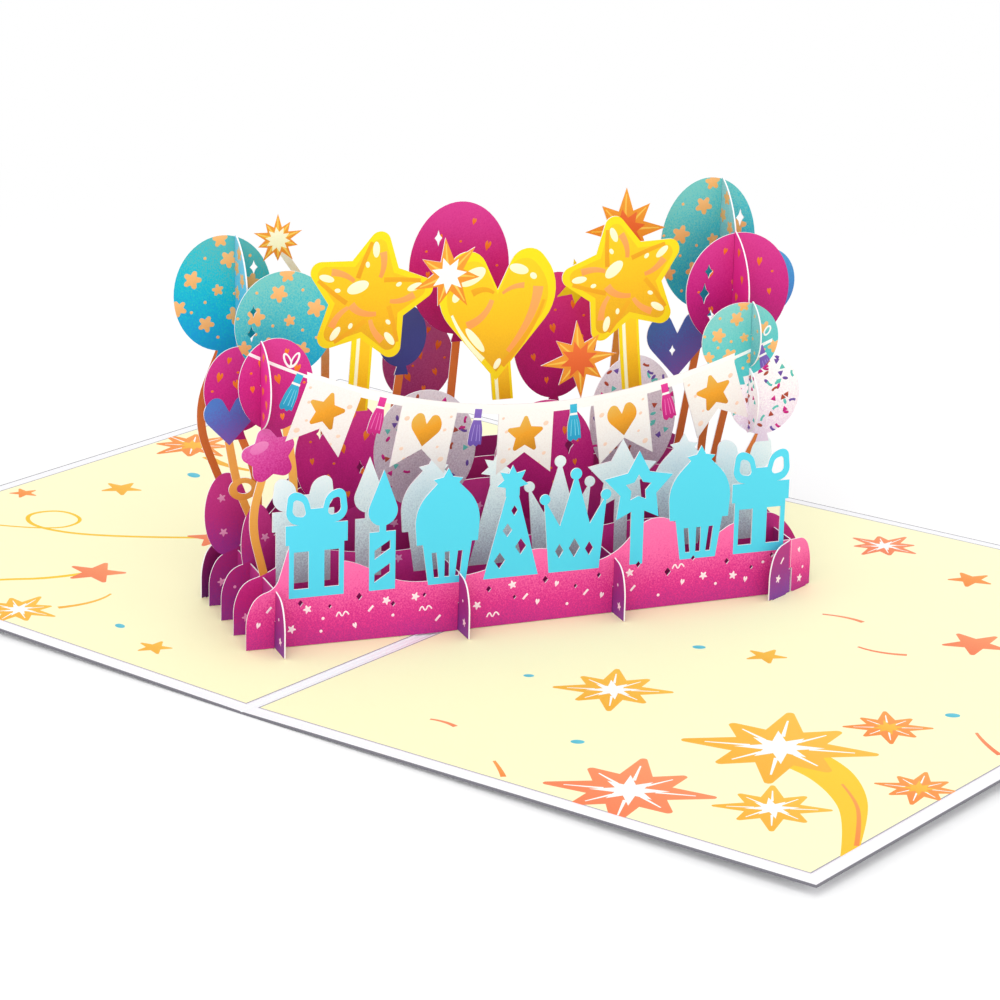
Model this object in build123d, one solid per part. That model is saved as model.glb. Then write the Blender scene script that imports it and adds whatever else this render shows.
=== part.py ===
"""A pop-up birthday card, lying open.

One cover sheet is creased in the middle, and a liner is glued inside each half. Nine die-cut sheets stand
across the crease: five rows and four cross slices, which hook into each other at half-height slots. Tabs at
two opposite corners of this grid stand in slits of the liners, so that closing the card folds the grid flat.
Six fins hook into balloons of the rows, at right angles to them.

Along a row, s runs from the first cross slice to the last, and along a cross slice, t runs backwards from the
front row. Both measure height z from the inside of the cover at the crease.
"""
import os
from math import atan2, cos, pi, radians, sin, sqrt, tan

from build123d import *

# Card
PANEL_WIDTH = 127.0
CARD_LENGTH = 177.8
PANEL_RISE = 0.97
COVER_THICKNESS = 0.40
LINER_THICKNESS = 0.25
LINER_MARGIN = 3.2
BARE_STRIP = 2.9
CREASE_WIDTH = 0.9
CREASE_DEPTH = 0.12

# Grid of standing sheets
SHEET = 0.30
SLOT_PLAY = 0.10
BED_GAP = 0.15
ROW_ANGLE = 58.33
ROW_PITCH = 8.64
FIRST_JOINT_X = -16.46
FIRST_JOINT_Y = -60.38
CROSS_PLACES = (0.0, 37.8, 70.8, 109.8)
CROSS_HEIGHT = 12.4
ROW_OVERHANG = 6.0
CROSS_OVERHANG = 6.2
ARCH_DROP = 4.8
SHOULDER_DROP = 0.7
ARCH_INSET = 2.0
TAB_LENGTH = 7.4
TONGUE_WIDTH = 5.0
BEND_ROOM = 0.6

# Motifs of the two front rows, and the banner
MOTIF_FOOT = 10.5
MOTIF_FIRST = 8.2
MOTIF_PITCH = 13.45
BANNER_LOW_S = 58.0
BANNER_LOW_Z = 42.3
BANNER_SAG = 0.0042
BANNER_ENDS = (2.0, 106.5)
BANNER_WIDTH = 2.0
PENNANT_PLACES = (14.6, 34.2, 54.4, 74.4, 93.4)
PENNANT_WIDTH = 11.6
PENNANT_DROP = 13.4
PENNANT_NOTCH = 4.4
TASSEL_LENGTH = 6.8
TASSEL_WIDTH = 3.0
TASSEL_NECK = 1.5
RIBBON_WIDTH = 1.7
NECK_WIDTH = 4.4

# Fins
FIN_BACK = 2.6
FIN_POKE = 0.4
FIN_CLEARANCE = 0.5
LEFT_FIN_PLACE = -0.4
RIGHT_FIN_PLACE = 102.8
FIN_PARTING = 47.6

# Balloons
OVAL_TIP = 0.9
KNOT_NECK = 1.4
KNOT_LIP = 3.0
KNOT_DROP = 1.6
KNOT_ROOT = 1.0

ROWS = 5
SLOT = SHEET + 2 * SLOT_PLAY
FIN_REACH = ROW_PITCH - SHEET / 2 - FIN_CLEARANCE
HEIGHT_LIMIT = PANEL_WIDTH
HALF_HEIGHT = CROSS_HEIGHT / 2
ARCH_SPRING = CROSS_HEIGHT - ARCH_DROP
ARCH_SHOULDER = CROSS_HEIGHT - SHOULDER_DROP
LAST_JOINT = CROSS_PLACES[-1]
GRID_DEPTH = (ROWS - 1) * ROW_PITCH
ALONG = Vector(cos(radians(ROW_ANGLE)), sin(radians(ROW_ANGLE)), 0)
BACKWARDS = Vector(-sin(radians(ROW_ANGLE)), cos(radians(ROW_ANGLE)), 0)
FIRST_JOINT = Vector(FIRST_JOINT_X, FIRST_JOINT_Y, COVER_THICKNESS)
RIGHT_HINGE = FIRST_JOINT + ALONG * LAST_JOINT
LEFT_HINGE = FIRST_JOINT + BACKWARDS * GRID_DEPTH
STANDING = Align.CENTER, Align.CENTER, Align.MIN
SHORTEST_EDGE = 0.001


# Flat outlines

def rounding(before, here, after, share):
    """Start, middle and end of the arc that rounds a corner over a share of its shorter edge."""
    back, on = (before - here).normalized(), (after - here).normalized()
    reach = share * min((before - here).length, (after - here).length)
    half = back.get_angle(on) / 2
    inward = (back + on).normalized() * (reach * (1 - sin(radians(half))) / cos(radians(half)))
    return here + back * reach, here + inward, here + on * reach


def outline(points, soft=0.0):
    """Face with corners at the points, rounded over a share of their shorter edge: soft, or their own."""
    places = [Vector(*point[:2]) for point in points]
    shares = [point[2] if len(point) == 3 else soft for point in points]
    corners = [rounding(places[i - 1], places[i], places[(i + 1) % len(places)], shares[i])
               for i in range(len(places))]
    edges = []
    for i, (start, middle, end) in enumerate(corners):
        following = corners[(i + 1) % len(corners)][0]
        if shares[i]:
            edges.append(ThreePointArc(start, middle, end))
        if (following - end).length > SHORTEST_EDGE:
            edges.append(Line(end, following))
    return make_face(edges)


def oval(s, z, half_width, half_height):
    """Face of an upright oval, from four arcs that run into each other."""
    tall = half_height >= half_width
    short, long = sorted((half_width, half_height))
    tight = short * (OVAL_TIP if short < long else 1.0)
    wide = (short ** 2 + (long - tight) ** 2 - tight ** 2) / (2 * (short - tight)) if short < long else short
    lean = atan2(long - tight, wide - short) if short < long else pi / 4
    joint = tight * cos(lean), long - tight + tight * sin(lean)
    corners = [(joint[0] * u, joint[1] * v) for u, v in ((1, 1), (-1, 1), (-1, -1), (1, -1))]
    ends = (0, long), (-short, 0), (0, -long), (short, 0)
    arcs = [ThreePointArc(corners[i], ends[i], corners[(i + 1) % 4]) for i in range(4)]
    return Pos(s, z) * Rot(0, 0, 0 if tall else 90) * make_face(arcs)


def box(left, low, right, high):
    """Face of an upright rectangle."""
    return outline([(left, low), (right, low), (right, high), (left, high)])


def star(s, z, tips, radius, waist, turn=0.0, short=1.0, blunt=0.0):
    """Star, turned anticlockwise, with every other tip at short times the radius; blunt widens tips."""
    points = []
    for i in range(2 * tips):
        angle = pi / 2 + radians(turn) + i * pi / tips
        out = Vector(cos(angle), sin(angle))
        side = Vector(-sin(angle), cos(angle)) * (blunt / 2)
        if i % 2:
            points.append(out * waist)
        elif blunt:
            points += [out * radius - side, out * radius + side]
        else:
            points.append(out * radius * (short if i % 4 else 1.0))
    return outline([(s + point.X, z + point.Y) for point in points])


def heart(s, z, half_width, half_height):
    """Plump heart with a point at its foot."""
    shape = [(0, 0.5, 0.0), (0.46, 1.45), (1.26, 0.45), (0, -1.0, 0.0), (-1.26, 0.45), (-0.46, 1.45)]
    return outline([(s + half_width * u, z + half_height * v, *share) for u, v, *share in shape], 0.5)


def ribbon(points, width=RIBBON_WIDTH):
    """Strip about a line that runs mostly up and down, with square ends."""
    half = width / 2
    sides = [(s - half, z) for s, z in points], [(s + half, z) for s, z in reversed(points)]
    return outline([(s, z, 0.0 if i in (0, len(points) - 1) else 0.5) for side in sides
                    for i, (s, z) in enumerate(side)])


def hill(ridge, left, right):
    """Low sheet under a wavy ridge, between two upright ends."""
    return outline([(left, 0, 0.0), (right, 0, 0.0), *reversed(ridge)], 0.5)


def diamonds(places):
    """Small die-cut sparkles."""
    return [outline([(s - w, z), (s, z - h), (s + w, z), (s, z + h)]) for s, z, w, h in places]


# Party silhouettes, about the middle of their foot

def gift():
    bow = [(0.4, 14.4), (6.4, 15.4), (5.4, 21.8), (2.2, 20.6)]
    bows = [outline([(side * u, v) for u, v in bow]) for side in (-1, 1)]
    windows = [box(side * 3.1 - 1.5, 1.8, side * 3.1 + 1.5, 9.4) for side in (-1, 1)]
    knot = box(-1.3, 14, 1.3, 18)
    return [box(-5.6, 0, 5.6, 11.6), box(-6.3, 10.9, 6.3, 14.9), knot, *bows], windows


def candle():
    flame = [(0.2, 24.6, 0.0), (4.4, 13.2), (-4.4, 13.2)]
    stripe = [(-1.6, 0), (1.6, 2), (1.6, 3.8), (-1.6, 1.8)]
    stripes = [outline([(u, low + v) for u, v in stripe]) for low in (1.6, 6.4)]
    return [box(-2.7, 0, 2.7, 12), box(-0.7, 11.5, 0.7, 14.5), outline(flame, 0.5)], stripes


def cupcake():
    parts = [outline([(-3.9, 0), (3.9, 0), (5.2, 9), (-5.2, 9)]),
             outline([(-6.4, 8.4, 0.0), (6.4, 8.4, 0.0), (6.9, 16), (0, 23, 0.0), (-6.9, 16)], 0.5),
             star(0, 20.6, 5, 3.2, 1.7)]
    holes = [outline([(u - 0.5, 1.4), (u + 0.5, 1.4), (1.25 * u + 0.5, 6.6), (1.25 * u - 0.5, 6.6)])
             for u in (-2.2, 0, 2.2)]
    return parts, holes


def party_hat():
    parts = [outline([(-5.8, 0), (5.8, 0), (0.6, 19.6), (-0.6, 19.6)]), star(0, 19.8, 7, 3.4, 1.9)]
    dots = (-2.4, 3.6, 1.2, 1.7), (2.0, 6.2, 1.2, 1.7), (-0.9, 9.8, 1.0, 1.4), (0.5, 13.8, 0.7, 1.1)
    return parts, diamonds(dots)


def crown():
    spikes = [(-5.4, 0), (5.4, 0), (6.7, 15.5), (3.2, 9.6), (0, 20.5), (-3.2, 9.6), (-6.7, 15.5)]
    return [outline(spikes)], diamonds([(-3.2, 4.4, 0.9, 1.5), (0, 4.8, 1.2, 2.0), (3.2, 4.4, 0.9, 1.5)])


def wand():
    return [box(-1.4, 0, 1.4, 12), star(0, 16, 5, 7.8, 4.1)], [star(0, 16, 5, 2.9, 1.6)]


MOTIFS = (gift, candle, cupcake, party_hat, crown, wand, cupcake, gift)


def silhouettes():
    """Parts and holes of all the motifs, in their places along a row."""
    parts, holes = [], []
    for i, motif in enumerate(MOTIFS):
        place = Pos(MOTIF_FIRST + i * MOTIF_PITCH, MOTIF_FOOT)
        own_parts, own_holes = motif()
        parts += [place * part for part in own_parts]
        holes += [place * hole for hole in own_holes]
    return parts, holes


# Standing sheets

def row_plane(index):
    return Plane(FIRST_JOINT + BACKWARDS * (index * ROW_PITCH), x_dir=ALONG, z_dir=-BACKWARDS)


def cross_plane(place):
    return Plane(FIRST_JOINT + ALONG * place, x_dir=BACKWARDS, z_dir=ALONG)


def tab_plane(hinge):
    return Plane(hinge, x_dir=(0, 1, 0), z_dir=(1, 0, 0))


def bed(lift):
    """Everything below the open halves, up to lift above the cover's inside."""
    edge = PANEL_WIDTH
    top = (COVER_THICKNESS + lift) / cos(radians(PANEL_RISE))
    rim = top + edge * tan(radians(PANEL_RISE))
    profile = Polyline((-edge, -edge), (edge, -edge), (edge, rim), (0, top), (-edge, rim), close=True)
    return extrude(Plane.XZ * make_face(profile), amount=CARD_LENGTH, both=True)


LINER_BED = bed(LINER_THICKNESS + BED_GAP)
COVER_BED = bed(0)


def die_cut(plane, parts, holes=()):
    """Sheet of stock about a plane, cut to the parts less the holes, and clear of the liners."""
    face = Sketch() + list(parts) - list(holes)
    return plane.location * extrude(face, amount=SHEET / 2, both=True) - LINER_BED


def quarter_arch(width):
    """Rounded end of a slice, from its full height at zero to its foot at width."""
    return outline([(0, 0, 0.0), (width, 0, 0.0), (width, ARCH_SPRING), (width - ARCH_INSET, ARCH_SHOULDER),
                    (0, CROSS_HEIGHT, 0.0)], 0.5)


def tongue_box(hinge, way, play):
    """Upright block about a tab's tongue, wider and thicker by play on each side."""
    middle = hinge + Vector(0, way * TAB_LENGTH / 2, 0)
    return Pos(*middle) * Box(SHEET + 2 * play, TONGUE_WIDTH + 2 * play, HALF_HEIGHT)


def bent_tab(hinge, way):
    """End of a sheet past its bend, along the crease, with a tongue that stands in a liner's slit."""
    arch = quarter_arch(TAB_LENGTH)
    tab = die_cut(tab_plane(hinge), [arch if way > 0 else mirror(arch, Plane.YZ)])
    bend = Pos(*hinge) * Cylinder(SHEET / 2, CROSS_HEIGHT, align=STANDING) - LINER_BED
    return tab + bend + (tongue_box(hinge, way, 0) - COVER_BED)


def corner_slot(hinge, low, high):
    """Room round a bend for the sheet that bends there the other way."""
    return Pos(*(hinge + Vector(0, 0, low))) * Box(2 * BEND_ROOM, 2 * BEND_ROOM, high - low, align=STANDING)


def row_slots(places):
    """Slots from a row's foot to half height, for the cross slices."""
    low, high = -HALF_HEIGHT, HALF_HEIGHT + SLOT_PLAY
    return [box(place - SLOT / 2, low, place + SLOT / 2, high) for place in places]


def fin_slot(fin):
    """Slot from a balloon's top to its middle."""
    top = fin["z"] + fin["high"] + FIN_POKE + SLOT_PLAY
    return box(fin["s"] - SLOT / 2, fin["z"] - SLOT_PLAY, fin["s"] + SLOT / 2, top)


# Balloons: place along the row, height of the middle, half width and half height

def balloon(s, z, half_width, half_height):
    """Balloon with its knot."""
    root, lip = z - half_height + KNOT_ROOT, z - half_height - KNOT_DROP
    knot = outline([(s - KNOT_NECK / 2, root), (s + KNOT_NECK / 2, root), (s + KNOT_LIP / 2, lip),
                    (s - KNOT_LIP / 2, lip)])
    return oval(s, z, half_width, half_height) + knot


def fin_on(row, s, size, front, floor=0.0, ceiling=HEIGHT_LIMIT):
    """A fin on a balloon of the given size: as tall as the balloon is at s, within floor and ceiling."""
    middle, z, half_width, half_height = size
    high = half_height * sqrt(1 - ((s - middle) / half_width) ** 2)
    foot, top = max(z - high, floor), min(z + high, ceiling)
    return {"row": row, "s": s, "z": (foot + top) / 2, "high": (top - foot) / 2, "front": front}


LEFT_MAGENTA = (2.5, 51.4, 7.5, 9.2)
SMALL_TEAL = (100.3, 53.0, 8.4, 7.8)
CONFETTI = (106.2, 41.2, 7.8, 8.4)
RIGHT_MAGENTA = (103.2, 61.2, 11.4, 11.9)
LEFT_TEAL = (-3.1, 65.6, 9.9, 11.6)
TOP_TEAL = (100.0, 69.0, 10.5, 13.8)

FINS = {
    "left_magenta_fin": fin_on(1, LEFT_FIN_PLACE, LEFT_MAGENTA, 6.6),
    "small_teal_fin": fin_on(1, RIGHT_FIN_PLACE, SMALL_TEAL, 4.6, floor=FIN_PARTING),
    "confetti_fin": fin_on(1, RIGHT_FIN_PLACE, CONFETTI, 4.9, ceiling=FIN_PARTING - 3 * FIN_POKE),
    "right_magenta_fin": fin_on(2, RIGHT_FIN_PLACE - 2 * SHEET, RIGHT_MAGENTA, FIN_REACH),
    "left_teal_fin": fin_on(3, LEFT_FIN_PLACE, LEFT_TEAL, FIN_REACH),
    "top_teal_fin": fin_on(3, RIGHT_FIN_PLACE, TOP_TEAL, FIN_REACH),
}


def fin_sheet(fin):
    """Lens at right angles to its row, slotted from its foot to its middle."""
    middle = fin["row"] * ROW_PITCH
    high, z = fin["high"] + FIN_POKE, fin["z"]
    foot, top = (middle, z - high), (middle, z + high)
    lens = make_face([ThreePointArc(foot, (middle + FIN_BACK, z), top),
                      ThreePointArc(top, (middle - fin["front"], z), foot)])
    slot = box(middle - SLOT / 2, z - 2 * high, middle + SLOT / 2, z + SLOT_PLAY)
    return die_cut(cross_plane(fin["s"]), [lens], [slot])


def slots_of(row):
    return [fin_slot(fin) for fin in FINS.values() if fin["row"] == row]


# Banner, in the second row

def banner_height(s):
    return BANNER_LOW_Z + BANNER_SAG * (s - BANNER_LOW_S) ** 2


def banner_string():
    """Strip along the sagging string, a parabola drawn from its ends and the meeting of its tangents."""
    left, right = BANNER_ENDS
    meeting = banner_height(left) + BANNER_SAG * (right - left) * (left - BANNER_LOW_S)
    edges = []
    for lift in (-BANNER_WIDTH / 2, BANNER_WIDTH / 2):
        edges.append(Bezier((left, banner_height(left) + lift), ((left + right) / 2, meeting + lift),
                            (right, banner_height(right) + lift)))
    return make_face([*edges, *(Line(edges[0] @ end, edges[1] @ end) for end in (0, 1))])


def hang(face, s):
    """The face, hung square to the string."""
    lean = 2 * BANNER_SAG * (s - BANNER_LOW_S)
    return Pos(s, banner_height(s)) * Rot(0, 0, lean * 180 / pi) * face


def pennant():
    """Swallow-tailed flag."""
    half = PENNANT_WIDTH / 2
    return outline([(-half, 0), (-half, -PENNANT_DROP), (0, PENNANT_NOTCH - PENNANT_DROP),
                    (half, -PENNANT_DROP), (half, 0)])


def tassel():
    """Bunch of threads, gathered where it hangs."""
    neck, half = TASSEL_NECK / 2, TASSEL_WIDTH / 2
    gather, foot = -BANNER_WIDTH, -BANNER_WIDTH / 2 - TASSEL_LENGTH
    return outline([(-neck, 0), (neck, 0), (neck, gather), (half, foot), (-half, foot), (-neck, gather)])


# Rows, front to back

LEFT_END = [(-ROW_OVERHANG, ARCH_SPRING), (ARCH_INSET - ROW_OVERHANG, ARCH_SHOULDER), (0, CROSS_HEIGHT + 0.3)]
RIGHT_EDGE = LAST_JOINT + ROW_OVERHANG
RIGHT_END = [(LAST_JOINT, CROSS_HEIGHT + 3.6), (RIGHT_EDGE - ARCH_INSET, ARCH_SHOULDER),
             (RIGHT_EDGE, ARCH_SPRING)]


def front_row():
    """Pink hill with the silhouettes, bent at its right end."""
    ridge = LEFT_END + [(3.5, 24), (9, 18), (16, 17), (25, 11.5), (35, 11.2), (45, 12.5), (55, 17.2),
                        (64, 11.3), (71, 13), (80, 23), (89, 12.5), (99, 19), (106, CROSS_HEIGHT),
                        (LAST_JOINT, CROSS_HEIGHT, 0.0)]
    parts, holes = silhouettes()
    holes += row_slots(CROSS_PLACES[:-1])
    sheet = die_cut(row_plane(0), [hill(ridge, -ROW_OVERHANG, LAST_JOINT), *parts], holes)
    return sheet + bent_tab(RIGHT_HINGE, 1) - corner_slot(RIGHT_HINGE, -HALF_HEIGHT, HALF_HEIGHT + SLOT_PLAY)


def echo_row():
    """The silhouettes again, under the banner and the balloons that its string is tied to."""
    ridge = LEFT_END + [(9, 17.5), (26, 14.5), (44, 17), (62, 15), (80, 17.5), (96, 15)] + RIGHT_END
    motifs, _ = silhouettes()
    ribbons = [ribbon([(4.6, 43), (6.6, 30), (4.6, 14)]), ribbon([(0.2, 34), (-2.6, 24), (0.4, 12)]),
               ribbon([(106.0, 34), (101.6, 26), (103.4, 13)])]
    balloons = [balloon(*size) for size in (LEFT_MAGENTA, SMALL_TEAL, CONFETTI)]
    flags = [hang(pennant(), s) for s in PENNANT_PLACES]
    flags += [hang(tassel(), (a + b) / 2) for a, b in zip(PENNANT_PLACES, PENNANT_PLACES[1:])]
    parts = [hill(ridge, -ROW_OVERHANG, RIGHT_EDGE), *motifs, *ribbons, *balloons,
             star(1.2, 37.2, 5, 5.6, 3.9, 12, blunt=2.0), banner_string(), *flags]
    return die_cut(row_plane(1), parts, slots_of(1) + row_slots(CROSS_PLACES))


def foil_row():
    """Foil star, heart and star over a band of balloons."""
    ridge = LEFT_END + [(12, 25), (30, 23.5), (48, 26.5), (66, 24), (86, 27)] + RIGHT_END
    stars = [star(24, 65, 5, 13.4, 8.3, -12, blunt=2.6), star(78, 65, 5, 13.4, 8.3, 12, blunt=2.6)]
    necks = [ribbon([(23, 60), (22.4, 50), (21.8, 42)], NECK_WIDTH),
             ribbon([(51, 60), (51.8, 50), (52.6, 42)], NECK_WIDTH),
             ribbon([(79, 60), (79.8, 50), (80.6, 42)], NECK_WIDTH)]
    round_ones = [(6.9, 60.9, 10.1, 10.6), RIGHT_MAGENTA, (-2.4, 48.4, 7.0, 8.6), (18.5, 33.2, 9.4, 11.6),
                  (36.2, 33.0, 10.8, 12.2), (61.9, 28.4, 10.8, 12.7), (81.0, 36.0, 9.4, 13.0)]
    ribbons = [ribbon([(7.4, 52), (13, 44), (16, 30)]), ribbon([(-2.4, 40), (1.6, 30), (1.4, 18)]),
               ribbon([(-4.4, 38), (-2.6, 28), (1.8, 18)]), ribbon([(103, 50), (97, 36), (96, 16)])]
    bursts = [star(40.6, 68.4, 7, 7.6, 3.2, 6, 0.86), star(68.8, 49.0, 8, 8.2, 3.6, 5, 0.8)]
    parts = [hill(ridge, -ROW_OVERHANG, RIGHT_EDGE), oval(1.5, 16.2, 3.4, 8.4), *ribbons,
             *(balloon(*size) for size in round_ones), heart(-4.3, 41.7, 5.0, 4.5), *necks, *stars,
             heart(51, 58.5, 12.0, 12.4), *bursts]
    sparkles = [(0.2, 59.4, 0.6, 1.2), (95.8, 60.8, 0.8, 1.6), (56.4, 33.4, 0.6, 1.2), (67.2, 31.2, 0.7, 1.4)]
    return die_cut(row_plane(2), parts, diamonds(sparkles) + slots_of(2) + row_slots(CROSS_PLACES))


def balloon_row():
    """Tall balloons and bursts that stand above the foil row."""
    ridge = LEFT_END + [(14, 27), (32, 24.5), (52, 28.5), (72, 25), (92, 28)] + RIGHT_END
    round_ones = [LEFT_TEAL, (45.9, 67.4, 10.6, 13.6), (34.0, 54.4, 5.2, 6.6), (67.0, 52.0, 9.2, 13.2),
                  TOP_TEAL]
    ribbons = [ribbon([(-3.4, 55), (-9.0, 41), (-2.4, 24)]), ribbon([(8.4, 74), (18, 60), (18, 18)]),
               ribbon([(34, 49), (30, 20)]), ribbon([(45.9, 56), (43, 22)]), ribbon([(67, 40), (66, 20)]),
               ribbon([(82, 68), (78, 18)]), ribbon([(100, 56), (94, 20)])]
    bursts = [star(8.1, 75.6, 10, 5.2, 2.6, 0, 0.82), star(81.6, 73.0, 8, 8.8, 4.2, 0, 0.84),
              star(71.9, 62.4, 7, 5.4, 2.6, 14, 0.8)]
    parts = [hill(ridge, -ROW_OVERHANG, RIGHT_EDGE), oval(-2.4, 20.2, 4.5, 8.6), *ribbons,
             *(balloon(*size) for size in round_ones), heart(94.0, 47.2, 6.6, 6.3), *bursts]
    sparkles = [(3.2, 70.4, 0.6, 1), (41.4, 73.8, 0.6, 1.3), (45.4, 60.8, 0.6, 1.2), (107, 74, 0.6, 1.4)]
    return die_cut(row_plane(3), parts, diamonds(sparkles) + slots_of(3) + row_slots(CROSS_PLACES))


def rear_row():
    """Last hill with a few balloons, bent at its left end."""
    ridge = [(0, CROSS_HEIGHT, 0.0), (5, CROSS_HEIGHT), (16, 29), (36, 26), (56, 30), (76, 26.5), (96, 29)]
    round_ones = [(40.5, 46.5, 7.6, 8.8), (117.6, 57.4, 6.6, 7.4)]
    ribbons = [ribbon([(40.5, 39), (40, 22)]), ribbon([(117.6, 51), (110.6, 36), (106, 14)])]
    parts = [hill(ridge + RIGHT_END, 0, RIGHT_EDGE), *ribbons, *(balloon(*size) for size in round_ones)]
    sheet = die_cut(row_plane(4), parts, row_slots(CROSS_PLACES[1:]))
    return sheet + bent_tab(LEFT_HINGE, -1) - corner_slot(LEFT_HINGE, -HALF_HEIGHT, HALF_HEIGHT + SLOT_PLAY)


# Cross slices

def cross_slice(index):
    """Low slice with rounded ends, slotted from its top; the outer two are bent at a corner of the grid."""
    front = 0.0 if index == len(CROSS_PLACES) - 1 else -CROSS_OVERHANG
    back = GRID_DEPTH if index == 0 else GRID_DEPTH + CROSS_OVERHANG
    parts = [box(0, 0, GRID_DEPTH, CROSS_HEIGHT)]
    if front < 0:
        parts.append(mirror(quarter_arch(-front), Plane.YZ))
    if back > GRID_DEPTH:
        parts.append(Pos(GRID_DEPTH, 0) * quarter_arch(back - GRID_DEPTH))
    crossed = [k * ROW_PITCH for k in range(ROWS) if front < k * ROW_PITCH < back]
    low, high = HALF_HEIGHT - SLOT_PLAY, CROSS_HEIGHT + SLOT_PLAY
    slots = [box(row - SLOT / 2, low, row + SLOT / 2, high) for row in crossed]
    sheet = die_cut(cross_plane(CROSS_PLACES[index]), parts, slots)
    if front == 0:
        sheet = sheet + bent_tab(RIGHT_HINGE, -1) - corner_slot(RIGHT_HINGE, low, high)
    if back == GRID_DEPTH:
        sheet = sheet + bent_tab(LEFT_HINGE, 1) - corner_slot(LEFT_HINGE, low, high)
    return sheet


# Card

def cover():
    """White sheet creased along its middle."""
    lean = radians(PANEL_RISE)
    edge = Vector(PANEL_WIDTH * cos(lean), PANEL_WIDTH * sin(lean))
    thick = Vector(-COVER_THICKNESS * sin(lean), COVER_THICKNESS * cos(lean))
    inside = COVER_THICKNESS / cos(lean)
    bank = CREASE_WIDTH / 2
    rim = edge + thick
    right = [(0, 0), (edge.X, edge.Y), (rim.X, rim.Y), (bank, inside + bank * tan(lean)),
             (0, inside - CREASE_DEPTH)]
    left = [(-x, z) for x, z in reversed(right[1:-1])]
    profile = make_face(Polyline(*right, *left, close=True))
    return extrude(Plane.XZ * profile, amount=CARD_LENGTH / 2, both=True)


def liner(side):
    """Printed sheet on one half, with slits for the two tongues that stand in it."""
    lean = radians(PANEL_RISE)
    inside = Plane((0, 0, COVER_THICKNESS / cos(lean)), x_dir=(cos(lean), 0, side * sin(lean)),
                   z_dir=(-side * sin(lean), 0, cos(lean)))
    width = PANEL_WIDTH - LINER_MARGIN - BARE_STRIP / 2
    middle = side * (BARE_STRIP / 2 + width / 2)
    sheet = Pos(middle, 0) * Box(width, CARD_LENGTH - 2 * LINER_MARGIN, LINER_THICKNESS, align=STANDING)
    hinge = RIGHT_HINGE if side > 0 else LEFT_HINGE
    return inside.location * sheet - [tongue_box(hinge, way, SLOT_PLAY) for way in (-1, 1)]


NODES = {"cover": cover(), "left_liner": liner(-1), "right_liner": liner(1), "front_row": front_row(),
         "echo_row": echo_row(), "foil_row": foil_row(), "balloon_row": balloon_row(), "rear_row": rear_row(),
         **{f"cross_slice_{i + 1}": cross_slice(i) for i in range(len(CROSS_PLACES))},
         **{name: fin_sheet(fin) for name, fin in FINS.items()}}

os.makedirs("parts", exist_ok=True)
for name, solid in NODES.items():
    export_step(solid, f"parts/{name}.step")
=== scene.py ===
"""An open pop-up birthday card: a white cover, two printed liners and a standing grid of die-cut sheets.

Outlines are in millimetres. On a row, the first number runs along it from the first cross slice, and on a
cross slice it runs backwards from the front row. The second number is the height above the cover's inside
at the crease.
"""
from collections import namedtuple
from math import asin, cos, pi, radians, sin, tan
from random import Random

import bmesh
import bpy
from mathutils import Matrix, Vector
from mathutils.geometry import delaunay_2d_cdt


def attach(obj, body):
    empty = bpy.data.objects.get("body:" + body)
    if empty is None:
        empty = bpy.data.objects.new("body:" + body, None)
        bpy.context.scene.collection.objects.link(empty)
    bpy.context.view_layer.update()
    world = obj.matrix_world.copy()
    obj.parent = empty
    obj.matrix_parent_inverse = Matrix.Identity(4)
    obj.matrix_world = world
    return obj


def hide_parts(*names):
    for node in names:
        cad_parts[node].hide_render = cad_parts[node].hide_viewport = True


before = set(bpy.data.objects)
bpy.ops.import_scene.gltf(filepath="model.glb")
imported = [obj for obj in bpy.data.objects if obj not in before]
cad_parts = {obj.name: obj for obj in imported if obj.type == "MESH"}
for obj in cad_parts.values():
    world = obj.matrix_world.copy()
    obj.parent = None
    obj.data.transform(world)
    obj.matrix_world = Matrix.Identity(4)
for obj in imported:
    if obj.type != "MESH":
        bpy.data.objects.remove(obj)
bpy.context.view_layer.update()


# Cover: one sheet of heavy white card, scored along its middle and folded there. It is bare on both sides,
# with a smooth matt face that shows a little fibre.

class Ink:
    """An output in a node tree. Arithmetic on it adds Math nodes, and node() adds any other node."""

    def __init__(self, tree, output=None):
        self.tree = tree
        self.output = output

    def node(self, kind, settings, values, output=0):
        made = self.tree.nodes.new(kind)
        for name, value in settings.items():
            setattr(made, name, value)
        for socket, value in values.items():
            if isinstance(value, Ink):
                self.tree.links.new(value.output, made.inputs[socket])
            else:
                made.inputs[socket].default_value = value
        return Ink(self.tree, made.outputs[output])

    def math(self, operation, first, second):
        return self.node("ShaderNodeMath", {"operation": operation}, {0: first, 1: second})

    def __add__(self, other):
        return self.math("ADD", self, other)

    def __sub__(self, other):
        return self.math("SUBTRACT", self, other)

    def __rsub__(self, other):
        return self.math("SUBTRACT", other, self)

    def __mul__(self, other):
        return self.math("MULTIPLY", self, other)

    __radd__ = __add__
    __rmul__ = __mul__


def linear(colour):
    """A printed colour, given from 0 to 255 as a screen shows it, in the renderer's own scale."""
    return (*(((c / 255 + 0.055) / 1.055) ** 2.4 for c in colour), 1.0)


GRAIN_SIZE = 0.0003
FIBRE_SIZE = 0.0006
FIBRE_DEPTH = 0.00004
FIBRE_STRENGTH = 0.12
FIBRE_SHEEN = 0.14
MOTTLE_SIZE = 0.012
MOTTLE_SHARE = 0.2
CARD_GLOSS = 0.3


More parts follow.
